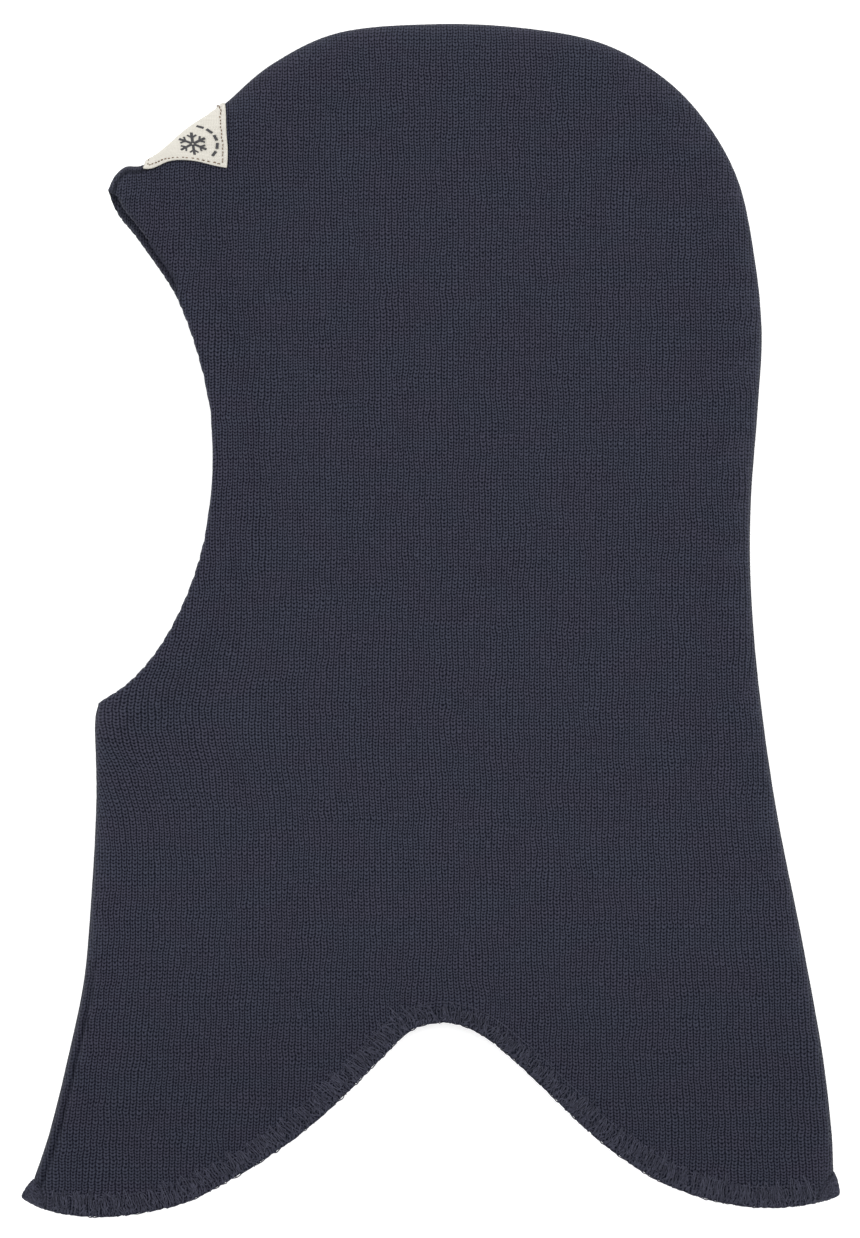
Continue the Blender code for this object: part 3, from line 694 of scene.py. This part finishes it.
def corner_tack(where, tip, material):
    """The matted thread tails that end a hem corner in a blunt point."""
    run = CORNER_BACK if where == "back" else CORNER_FRONT
    half = (run.curve[-1] - run.curve[0]) / 2
    root = run.curve[0] + half
    outward = np.array(tip) - root
    flats = Place([root], True).flats
    middle = (flats[0] + flats[7])[0] / 2
    draw = np.random.default_rng(51)

    def surface(reach, turn, off):
        """A place on the wedge: reach from inside the hem to the point, turn round its thickness."""
        share = np.clip(reach, 0.0, 1.0)
        width = (1 - share ** 1.15) ** 0.8 * (1 + np.minimum(reach, 0.0))
        thick = 2.1 * np.maximum(1 - share, 0.0) ** 0.6 + 0.35
        across = np.cos(turn) * (width + off / 4.5)
        plan = root + np.multiply.outer(reach, outward) + np.multiply.outer(across, half)
        return np.concatenate([plan, (middle + np.sin(turn) * (thick + off))[..., None]], axis=-1)

    turns, rings = 40, 22
    reach, turn = np.meshgrid(np.linspace(-0.35, 0.99, rings), np.arange(turns) * math.tau / turns)
    core = surface(reach, turn, draw.uniform(-0.20, 0.0, turn.shape))
    tones = draw.uniform(0.0, 0.25, turn.shape)
    bundle = Threads(LOOPER, 5)
    bundle.add_tube(core.swapaxes(0, 1).reshape(-1, 3), tones.T.ravel(), turns)
    t = np.linspace(0, 1, 6)
    for _ in range(TACK_TAILS):
        heading, length = draw.uniform(0, math.tau), draw.uniform(0.10, 0.24)
        along = draw.uniform(-0.25, 0.96) + length * math.cos(heading) * (t - 0.5)
        around = draw.uniform(0, math.tau) + 2.2 * length * math.sin(heading) * (t - 0.5)
        path = surface(np.minimum(along, 0.985), around, 0.16 * np.sin(t * math.pi) - 0.06)
        bundle.add(path, tone=draw.uniform(0.0, 1.0))
    made = bundle.make("hem_corner_threads_" + where, material)
    stand_in(made, "hem_corner_tack_" + where)


# ---- the forehead label
LABEL_REACH = 13.9  # half of the diagonal that it is folded along
LABEL_DEPTH = 15.3  # from the fold to the corner that hangs over each side
LABEL_LEAN = 0.31  # those corners lie off the middle by this much of their depth
LABEL_GAP = 0.42  # stands this far off the knit
LABEL_THICKNESS = 0.36
LABEL_STITCH_LINE = 0.90  # how far out on the label the stitches run: its edge is at 1
LABEL_STITCHES = 17  # along each side
LABEL_STITCH_SHARE = 0.45  # of each step that a stitch covers
PRINT_CENTRE = (-0.6, 4.5)
PRINT_LEVELS = (0.07, 0.15)  # the print's two faces stand this far off the label
LABEL_ALONG = CROWN_RUN.lengths[np.linalg.norm(CROWN_RUN.curve - LABEL_CENTRE, axis=1).argmin()] - 1.4
WEAVE_SPAN = (10.9, 8.6)  # half of the label's sides, for the weave
ARM = 3.5
ARM_HALF_WIDTH = 0.32
FORK = 1.9  # where an arm's branches start
BRANCH = 1.35
BRANCH_HALF_WIDTH = 0.23
BRANCH_TURN = 0.9
DASH_RADIUS = 5.6
DASH_HALF = 0.85


def over_crown(along, across, gap):
    """Points off the fabric near the crown seam: along it from the label's middle, and across it."""
    along, across, gap = [values.ravel() for values in np.broadcast_arrays(along, across, gap)]
    seam, inward = CROWN_RUN.at(LABEL_ALONG + along + LABEL_LEAN * across)
    side = np.where(across >= 0, 1.0, -1.0)
    radius = edge_radius(seam[:, 1])
    depth = np.abs(across)
    turn = np.arccos(np.clip(1 - depth / radius, 0.0, 1.0))
    spots = seam + inward * depth[:, None]
    flats = Place(spots, True).flats
    middle = (flats[0] + flats[7]) / 2
    rise = (flats[7] - flats[0]) / 2
    square_in = -np.cos(turn) * rise
    square_up = np.sin(turn) * radius
    size = np.hypot(square_in, square_up)
    spots = spots + inward * (gap * square_in / size)[:, None]
    return np.column_stack([spots, middle + side * (rise * np.sin(turn) + gap * square_up / size)])


def label_spot(p, q):
    """Along and across the fold for a place on the label, whose sides run along p and q."""
    along = LABEL_REACH * (p + q) / 2
    across = LABEL_DEPTH * (p - q) / 2
    across = across * (1 - 0.45 * np.exp(-((along + 9.5) / 6.0) ** 2))
    low_end = np.exp(-((along + LABEL_REACH) / 4.5) ** 2)
    high_end = np.exp(-((along - LABEL_REACH) / 5.0) ** 2)
    off_seam = 1.7 * low_end + 0.7 * high_end
    return along, across + off_seam


def label_cloth(material):
    """The oblong of woven tape, folded over the seam, with a slight wave."""
    cells = 56
    grid = np.linspace(-1, 1, cells + 1)
    p, q = [axis.ravel() for axis in np.meshgrid(grid, grid, indexing="ij")]
    along, across = label_spot(p, q)
    wave = 0.10 * np.sin(p * 5.0 + 1.0) + 0.08 * np.sin(q * 6.0)
    top = over_crown(along, across, LABEL_GAP + LABEL_THICKNESS + wave)
    bottom = over_crown(along, across, LABEL_GAP + wave * 0.5)
    corners = np.concatenate([top, bottom])
    below = len(top)
    index = np.arange(below).reshape(cells + 1, cells + 1)
    quads = np.stack([index[:-1, :-1], index[1:, :-1], index[1:, 1:], index[:-1, 1:]], axis=2)
    quads = quads.reshape(-1, 4)
    rim = [*index[:-1, 0], *index[-1, :-1], *index[:0:-1, -1], *index[0, :0:-1]]
    faces = [*quads.tolist(), *(quads[:, ::-1] + below).tolist()]
    faces += [(b, a, a + below, b + below) for a, b in zip(rim, rim[1:] + rim[:1])]
    made = mesh_object("forehead_label_tape", corners, faces, material)
    cloth_coordinates(made.data, "weave", np.tile(p, 2) * WEAVE_SPAN[0], np.tile(q, 2) * WEAVE_SPAN[1])
    stand_in(made, "forehead_label")


def label_stitches(material):
    """Tan running stitches a little inside each side of the label."""
    seam = Threads(NEEDLE, 6)
    step = 2 * LABEL_STITCH_LINE / LABEL_STITCHES
    ahead, lift = running_stitch(0.5, 0.38, dip=0.15, rise=0.12, crest=0.20)
    for side in range(4):
        for k in range(LABEL_STITCHES):
            centre = (k + 0.5) * step - LABEL_STITCH_LINE
            t = centre + ahead * step * LABEL_STITCH_SHARE + RANDOM.normal(0, 0.010)
            line = LABEL_STITCH_LINE if side < 2 else -LABEL_STITCH_LINE
            fixed = np.full(5, line) + RANDOM.normal(0, 0.006)
            p, q = (t, fixed) if side % 2 else (fixed, t)
            path = over_crown(*label_spot(p, q), LABEL_GAP + LABEL_THICKNESS + lift)
            seam.add(smooth_path(path, 1))
    made = seam.make("forehead_label_stitches", material)
    stand_in(made, "forehead_label_stitching")


def printed(name, outlines, node, material):
    """Flat printed shapes on the label, each given by an outline along and across the fold."""
    corners = []
    faces = []
    for outline in outlines:
        outline = np.array(outline)
        centre = outline.mean(0)
        rings = [centre + (outline - centre) * share for share in (1.0, 0.5)]
        start = len(corners)
        for level in PRINT_LEVELS:
            gap = LABEL_GAP + LABEL_THICKNESS + level
            for ring in rings:
                corners += list(over_crown(ring[:, 0], ring[:, 1], gap))
            corners += list(over_crown(centre[0], centre[1], gap))
        n = len(outline)
        layer = 2 * n + 1
        for k in range(n):
            m = (k + 1) % n
            for base, flip in ((start, True), (start + layer, False)):
                quad = (base + k, base + m, base + n + m, base + n + k)
                fan = (base + n + k, base + n + m, base + 2 * n)
                faces += [quad[::-1], fan[::-1]] if flip else [quad, fan]
            faces.append((start + k, start + m, start + layer + m, start + layer + k)[::-1])
    made = mesh_object(name, corners, faces, material)
    stand_in(made, node)


def bar(start, end, half_width):
    """The outline of a straight bar, with a corner at the middle of each long side."""
    start, end = np.array(start), np.array(end)
    middle = (start + end) / 2
    ahead = (end - start) / np.linalg.norm(end - start)
    side = np.array([-ahead[1], ahead[0]]) * half_width
    return [start - side, middle - side, end - side, end + side, middle + side, start + side]


def toward(angle):
    """A unit step along and across the fold."""
    return np.array([math.cos(angle), math.sin(angle)])


def label_print(material):
    """A generic snow crystal beside an arc of dashes."""
    centre = np.array(PRINT_CENTRE)
    flake = []
    for arm in range(6):
        angle = arm * math.tau / 6 + 0.2
        ahead = toward(angle)
        flake.append(bar(centre + ahead * 0.25, centre + ahead * ARM, ARM_HALF_WIDTH))
        fork = centre + ahead * FORK
        for turn in (-BRANCH_TURN, BRANCH_TURN):
            flake.append(bar(fork, fork + toward(angle + turn) * BRANCH, BRANCH_HALF_WIDTH))
    printed("forehead_label_flake", flake, "forehead_label_snowflake", material)
    dashes = []
    for k in range(5):
        angle = math.radians(-26 + 25 * k)
        middle = centre + toward(angle) * DASH_RADIUS
        half = toward(angle + math.pi / 2) * DASH_HALF
        dashes.append(bar(middle - half, middle + half, ARM_HALF_WIDTH))
    printed("forehead_label_dashes", dashes, "forehead_label_arc", material)


# ---- the care label
CARE_WALL = 0.16
CARE_COLUMNS = 24
CARE_THREAD = 0.5
CARE_STITCHES = 9


def care_label(satin):
    """A blank folded satin loop in the lining's back seam."""
    low, high = [np.array(corner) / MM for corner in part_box("care_label")]
    width = high[1] - low[1]
    root = np.array([high[0], (low[1] + high[1]) / 2, high[2] - 0.35])
    tip = np.array([low[0], root[1], low[2] + 0.32])
    run = tip - root
    length = np.linalg.norm(run)
    run = run / length
    up = np.cross(np.array([0.0, 1.0, 0.0]), run)
    up = up if up[2] > 0 else -up
    outer = [(0.0, 0.26), (length - 0.5, 0.30), (length - 0.1, 0.18), (length, 0.0),
             (length - 0.1, -0.18), (length - 0.5, -0.30), (0.0, -0.26)]
    inner = [(0.0, -0.26 + CARE_WALL), (length - 0.6, -0.30 + CARE_WALL), (length - 0.3, 0.0),
             (length - 0.6, 0.30 - CARE_WALL), (0.0, 0.26 - CARE_WALL)]
    profile = outer + inner
    corners = []
    for k in range(CARE_COLUMNS + 1):
        across = (k / CARE_COLUMNS - 0.5) * width
        for reach, lift in profile:
            bow = 0.12 * math.sin(reach / length * math.pi) * math.cos(across / width * math.pi)
            corners.append(root + run * reach + up * (lift + bow) + np.array([0.0, across, 0.0]))
    faces = tube_faces(0, CARE_COLUMNS + 1, len(profile))
    made = mesh_object("care_label_loop", corners, faces, satin)
    stand_in(made, "care_label", "care_label_flap")


def care_label_stitches(thread):
    """The row of stitches at the care label's root."""
    low, high = [np.array(corner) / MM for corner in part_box("care_label_stitching")]
    centre = (low + high) / 2
    row = Threads(CARE_THREAD, 6)
    step = (high[1] - low[1]) / CARE_STITCHES
    ahead, lift = running_stitch(0.5, 0.3, dip=0.15, rise=0.15, crest=0.22)
    for k in range(CARE_STITCHES):
        y = low[1] + (k + 0.5 + 0.85 * ahead) * step
        path = np.column_stack([np.full(5, centre[0] + 0.1), y, centre[2] + lift])
        row.add(smooth_path(path, 1))
    stitched = row.make("care_label_stitches", thread)
    stand_in(stitched, "care_label_stitching")


# ---- node materials
class Graph:
    """Small helper for building a material's node tree."""

    def __init__(self, name, colour, roughness):
        self.material = bpy.data.materials.new(name)
        self.material.use_nodes = True
        self.tree = self.material.node_tree
        self.shader = self.tree.nodes["Principled BSDF"]
        self.give("Base Color", colour)
        self.give("Roughness", roughness)

    def feed(self, socket, value):
        """Another node's output, a number or a colour for a socket."""
        if isinstance(value, bpy.types.NodeSocket):
            self.tree.links.new(value, socket)
        else:
            socket.default_value = (*value, 1.0) if socket.type == "RGBA" else value

    def give(self, name, value):
        """The same for one of the shader's sockets."""
        self.feed(self.shader.inputs[name], value)

    def node(self, kind, feeds=(), **settings):
        """A new node, with what feeds its inputs: in their order, or by name or number."""
        made = self.tree.nodes.new(kind)
        for key, value in settings.items():
            setattr(made, key, value)
        for socket, value in feeds.items() if isinstance(feeds, dict) else enumerate(feeds):
            self.feed(made.inputs[socket], value)
        return made

    def math(self, operation, *values, clamp=False):
        return self.node("ShaderNodeMath", values, operation=operation, use_clamp=clamp).outputs[0]

    def plus(self, first, second, clamp=False):
        return self.math("ADD", first, second, clamp=clamp)

    def minus(self, first, second):
        return self.math("SUBTRACT", first, second)

    def times(self, first, second):
        return self.math("MULTIPLY", first, second)

    def off_middle(self, value):
        """How far a number lies from the middle between two whole ones."""
        return self.math("ABSOLUTE", self.minus(self.math("FRACT", value), 0.5))

    def ramp(self, value, low, high, start=0.0, end=1.0):
        """value mapped smoothly from low..high onto start..end."""
        limits = (value, low, high, start, end)
        return self.node("ShaderNodeMapRange", limits, interpolation_type="SMOOTHSTEP").outputs[0]

    def noise(self, vector, scale, detail=2.0, roughness=0.5):
        feeds = {"Vector": vector, "Scale": scale, "Detail": detail, "Roughness": roughness}
        return self.node("ShaderNodeTexNoise", feeds).outputs["Fac"]

    def swing(self, vector, scale, reach):
        """Noise that swings to either side of zero."""
        return self.times(self.minus(self.noise(vector, scale, 2.0, 0.6), 0.5), 2 * reach)

    def chance(self, x, y):
        """A number from 0 to 1 that is drawn anew for each whole x and y."""
        feeds = {"Vector": self.combine(x, y)}
        return self.node("ShaderNodeTexWhiteNoise", feeds, noise_dimensions="2D").outputs[0]

    def mix(self, factor, first, second):
        return self.node("ShaderNodeMix", {0: factor, 6: first, 7: second}, data_type="RGBA").outputs[2]

    def combine(self, x, y):
        return self.node("ShaderNodeCombineXYZ", (x, y)).outputs[0]

    def parts(self, vector):
        """The first two components of a vector."""
        return self.node("ShaderNodeSeparateXYZ", (vector,)).outputs[:2]

    def place(self):
        return self.node("ShaderNodeTexCoord").outputs["Object"]

    def stored(self, name):
        """The vector that cloth_coordinates stored under a name."""
        return self.node("ShaderNodeUVMap", uv_map=name).outputs[0]

    def bump(self, height, strength, distance):
        feeds = {"Strength": strength, "Distance": distance, "Height": height}
        self.give("Normal", self.node("ShaderNodeBump", feeds).outputs[0])

    def sheen(self, weight, roughness, tint):
        self.give("Sheen Weight", weight)
        self.give("Sheen Roughness", roughness)
        self.give("Sheen Tint", tint)


# Painted shade in each recess of a stitch: how much of a leg's colour it takes away.
GAP_LINE_SHADE = 0.75
PIT_SHADE = 1.45
BETWEEN_SHADE = 0.60
LEG_SPREAD = 0.14  # from one stitch to the next
COURSE_SPREAD = 0.08  # from one course to the next
LEG_CLIMB = 1.2  # courses that a leg climbs from the gap line to the middle of its wale


def knit_material(name, gap, leg, seed):
    """Rib knit: slanted stitch legs in columns, with painted shade in the pits down their middles and the
    lines between.
    """
    g = Graph(name, leg, 0.95)
    uv = g.stored("knit")
    wale, course = g.parts(uv)
    shade = g.parts(g.stored("shade"))[0]
    column = g.plus(wale, g.swing(uv, 0.12 + 0.01 * seed, 0.50))
    column = g.plus(column, g.swing(uv, 0.9, 0.13))
    row = g.plus(course, g.swing(uv, 0.10 + 0.01 * seed, 1.2))
    row = g.plus(row, g.swing(uv, 0.8, 0.32))
    side = g.off_middle(column)
    along = g.minus(row, g.times(side, LEG_CLIMB))
    phase = g.off_middle(g.plus(along, 0.12))
    pit_phase = g.off_middle(row)
    leg_chance = g.chance(g.math("FLOOR", g.times(column, 2.0)), g.math("FLOOR", along))
    pit_chance = g.chance(g.math("FLOOR", column), g.math("FLOOR", row))
    gap_line = g.ramp(side, 0.31, 0.46)
    pit = g.times(g.ramp(side, 0.08, 0.20, 1.0, 0.0), g.ramp(pit_phase, 0.18, 0.44, 0.3, 1.0))
    pit = g.times(pit, g.ramp(pit_chance, 0.0, 0.6, 0.7, 1.0))
    between = g.times(g.ramp(phase, 0.22, 0.46), g.ramp(side, 0.06, 0.14))
    bands = g.noise(g.combine(0.0, course), 0.35, 3.0, 0.7)
    # Painted shade in the grooves, pits and lines between legs; then random tone by stitch and by course.
    level = g.minus(0.99, g.times(gap_line, GAP_LINE_SHADE))
    level = g.minus(level, g.times(pit, PIT_SHADE))
    level = g.minus(level, g.times(between, BETWEEN_SHADE))
    level = g.plus(level, g.times(g.minus(leg_chance, 0.5), LEG_SPREAD))
    level = g.plus(level, g.times(g.minus(bands, 0.5), COURSE_SPREAD), clamp=True)
    patches = g.noise(g.combine(wale, course), 0.09)
    warm = tuple(c * t for c, t in zip(leg, (1.02, 0.97, 0.985)))
    cool = tuple(c * t for c, t in zip(leg, (0.97, 1.01, 1.01)))
    hue = g.mix(g.ramp(patches, 0.35, 0.65), warm, cool)
    # The gap colour is painted shade; the stored painted shade darkens rims, creases and the hem's side.
    g.give("Base Color", g.mix(shade, g.mix(level, gap, hue), gap))
    relief = g.minus(1.0, g.plus(g.times(pit, 0.9), g.times(between, 0.5)))
    relief = g.minus(relief, g.times(gap_line, 0.8))
    fibres = g.noise(g.combine(g.times(wale, 5.0), g.times(along, 2.2)), 3.0)
    relief = g.plus(relief, g.times(fibres, 0.25))
    g.bump(relief, 0.55, 0.00030)
    g.give("Roughness", g.ramp(fibres, 0.2, 0.8, 0.85, 1.0))
    g.give("Specular IOR Level", 0.1)
    g.sheen(0.06, 0.5, (0.55, 0.6, 0.8))
    return g.material


def thread_material(name, dark, light, scale):
    """Bulky sewing thread, fuzzy with fine fibres and uneven in colour."""
    g = Graph(name, light, 0.9)
    place = g.place()
    tone = g.parts(g.stored("tone"))[0]
    fibres = g.noise(place, scale, 3.0, 0.7)
    clumps = g.noise(place, scale * 0.22)
    level = g.plus(g.times(tone, 0.5), g.times(g.ramp(fibres, 0.35, 0.65), 0.5))
    g.give("Base Color", g.mix(level, dark, light))
    g.bump(fibres, 0.5, 0.00012)
    g.give("Roughness", g.ramp(clumps, 0.3, 0.7, 0.8, 0.98))
    g.give("Specular IOR Level", 0.2)
    g.sheen(0.12, 0.5, (0.6, 0.65, 0.8))
    return g.material


def woven_material(name, dark, light, threads, roughness):
    """Plain weave: threads over and under each other, from the label's own coordinates."""
    g = Graph(name, light, roughness)
    across, along = g.parts(g.stored("weave"))
    warp = g.times(across, threads)
    weft = g.times(along, threads)
    square = g.plus(g.math("FLOOR", warp), g.math("FLOOR", weft))
    over = g.math("ABSOLUTE", g.math("MODULO", square, 2.0))
    warp_round = g.math("SINE", g.times(g.math("FRACT", warp), math.pi))
    weft_round = g.math("SINE", g.times(g.math("FRACT", weft), math.pi))
    height = g.plus(g.times(over, warp_round), g.times(g.minus(1.0, over), weft_round))
    slub = g.noise(g.combine(g.times(warp, 0.12), weft), 0.8)
    # Painted shade: the colour follows the weave's height, darker where the threads dip and lighter on
    # their crowns; the slubs vary the yarn's own tone.
    level = g.plus(g.times(height, 0.6), g.times(slub, 0.7), clamp=True)
    g.give("Base Color", g.mix(level, dark, light))
    g.bump(g.plus(height, slub), 0.5, 0.00015)
    g.give("Roughness", g.ramp(slub, 0.2, 0.8, roughness - 0.1, roughness))
    g.sheen(0.1, 0.4, (1.0, 1.0, 1.0))
    return g.material


def ink_material():
    g = Graph("label_ink", (0.03, 0.03, 0.034), 0.7)
    place = g.place()
    worn = g.noise(place, 2500.0, 3.0, 0.7)
    g.give("Base Color", g.mix(g.ramp(worn, 0.55, 0.75), (0.022, 0.022, 0.026), (0.10, 0.095, 0.09)))
    g.bump(worn, 0.3, 0.00005)
    return g.material


def satin_material():
    g = Graph("care_satin", (0.80, 0.80, 0.78), 0.4)
    place = g.place()
    lines = g.math("SINE", g.times(g.parts(place)[1], 26000.0))
    cloud = g.noise(place, 400.0)
    g.give("Base Color", g.mix(cloud, (0.74, 0.74, 0.72), (0.86, 0.86, 0.84)))
    g.bump(lines, 0.3, 0.00004)
    g.give("Roughness", g.ramp(cloud, 0.3, 0.7, 0.34, 0.46))
    g.give("Anisotropic", 0.5)
    return g.material


# ---- light, floor and camera
VIEW_HEIGHT = 331.5  # what the picture spans from top to bottom
VIEW_CENTRE = (-0.1, 0.7)
VIEW_LEVEL = 8.0  # its scale holds at this height above the table
LENS = 135.0
SENSOR = 36.0
FLOOR_SIZE = 3.0  # metres
FLOOR_DROP = 0.05  # keeps the floor from sharing a plane with the flattened knit
ROOM_LIGHT = 1.30
FLOOR_GLOW = 0.30  # the white table is lit a little from below, which softens shadows on it


def studio():
    """A white floor, an even white room and two soft lights overhead."""
    floor = Graph("floor_paper", (0.92, 0.92, 0.92), 0.8)
    grain = floor.noise(floor.place(), 60.0)
    floor.give("Base Color", floor.mix(grain, (0.93, 0.93, 0.93), (0.95, 0.95, 0.95)))
    floor.give("Emission Color", (1.0, 1.0, 1.0))
    floor.give("Emission Strength", FLOOR_GLOW)
    half = FLOOR_SIZE / MM / 2
    corners = [(x * half, y * half, -FLOOR_DROP) for x, y in ((-1, -1), (1, -1), (1, 1), (-1, 1))]
    ground = mesh_object("floor", corners, [(0, 1, 2, 3)], floor.material)
    world = bpy.data.worlds.new("room")
    bpy.context.scene.world = world
    world.use_nodes = True
    background = world.node_tree.nodes["Background"]
    background.inputs["Color"].default_value = (1.0, 1.0, 1.0, 1.0)
    background.inputs["Strength"].default_value = ROOM_LIGHT
    for name, place, power, extent in (("crown_light", (-0.15, 0.6, 1.2), 5.0, 1.2),
                                       ("side_light", (0.7, 0.3, 1.1), 2.0, 0.9)):
        light = bpy.data.lights.new(name, "AREA")
        light.energy = power
        light.size = extent
        lamp = bpy.data.objects.new(name, light)
        lamp.location = place
        lamp.rotation_euler = (-Vector(place)).to_track_quat("-Z", "Y").to_euler()
        bpy.context.scene.collection.objects.link(lamp)


def camera():
    """Straight down on the hat with a long lens, crown at the top of the picture."""
    data = bpy.data.cameras.new("camera")
    data.lens = LENS
    data.sensor_width = SENSOR
    data.clip_end = 20.0
    made = bpy.data.objects.new("camera", data)
    height = LENS * VIEW_HEIGHT / SENSOR + VIEW_LEVEL
    made.location = (VIEW_CENTRE[0] * MM, VIEW_CENTRE[1] * MM, height * MM)
    bpy.context.scene.collection.objects.link(made)
    bpy.context.scene.camera = made


# ---- the hat
# The gap colours are painted shade in the knit's grooves and pits; the leg colours are the yarn's own.
NAVY_GAP_SHADE = (0.0012, 0.0017, 0.0052)
NAVY_LEG = (0.0390, 0.0406, 0.0600)
LINING_GAP_SHADE = (0.0015, 0.0020, 0.0055)
LINING_LEG = (0.044, 0.046, 0.066)
THREAD_DARK = (0.0095, 0.0100, 0.0180)
THREAD_LIGHT = (0.047, 0.048, 0.072)


def panels():
    """The outer panel and the lining of each side."""
    samples = RIB_SAMPLES
    outer = knit_material("outer_rib_knit", NAVY_GAP_SHADE, NAVY_LEG, 1)
    inner = knit_material("lining_rib_knit", LINING_GAP_SHADE, LINING_LEG, 2)
    sides = (("left", (7, 6, 4, 5), "lining_left_panel"), ("right", (0, 1, 3, 2), "floor"))
    for side, faces, under in sides:
        shell = fabric_panel("outer_" + side + "_knit", faces[0], faces[1], outer, samples, ROW_STEP)
        stand_in(shell, "outer_" + side + "_panel")
        lining = fabric_panel("lining_" + side + "_knit", faces[2], faces[3], inner, 2, 2 * ROW_STEP)
        stand_in(lining, "lining_" + side + "_panel")


def inner_seams(material):
    """The overlocked allowances between the layers stay as designed, in thread."""
    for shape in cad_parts.values():
        if not shape.hide_render:
            shape.data.materials.clear()
            shape.data.materials.append(material)


bpy.context.scene.view_settings.view_transform = "Standard"
studio()
camera()
panels()
navy_thread = thread_material("navy_thread", THREAD_DARK, THREAD_LIGHT, 1400.0)
hem_threads(True, navy_thread)
hem_threads(False, navy_thread)
corner_tack("front", (-109.5, -154.3), navy_thread)
corner_tack("back", (109.6, -153.6), navy_thread)
label_cloth(woven_material("label_tape", (0.36, 0.335, 0.29), (0.56, 0.54, 0.485), 2.6, 0.85))
label_stitches(thread_material("tan_thread", (0.05, 0.028, 0.015), (0.15, 0.09, 0.05), 1200.0))
label_print(ink_material())
care_label(satin_material())
care_label_stitches(thread_material("white_thread", (0.6, 0.6, 0.58), (0.85, 0.85, 0.83), 1200.0))
inner_seams(navy_thread)
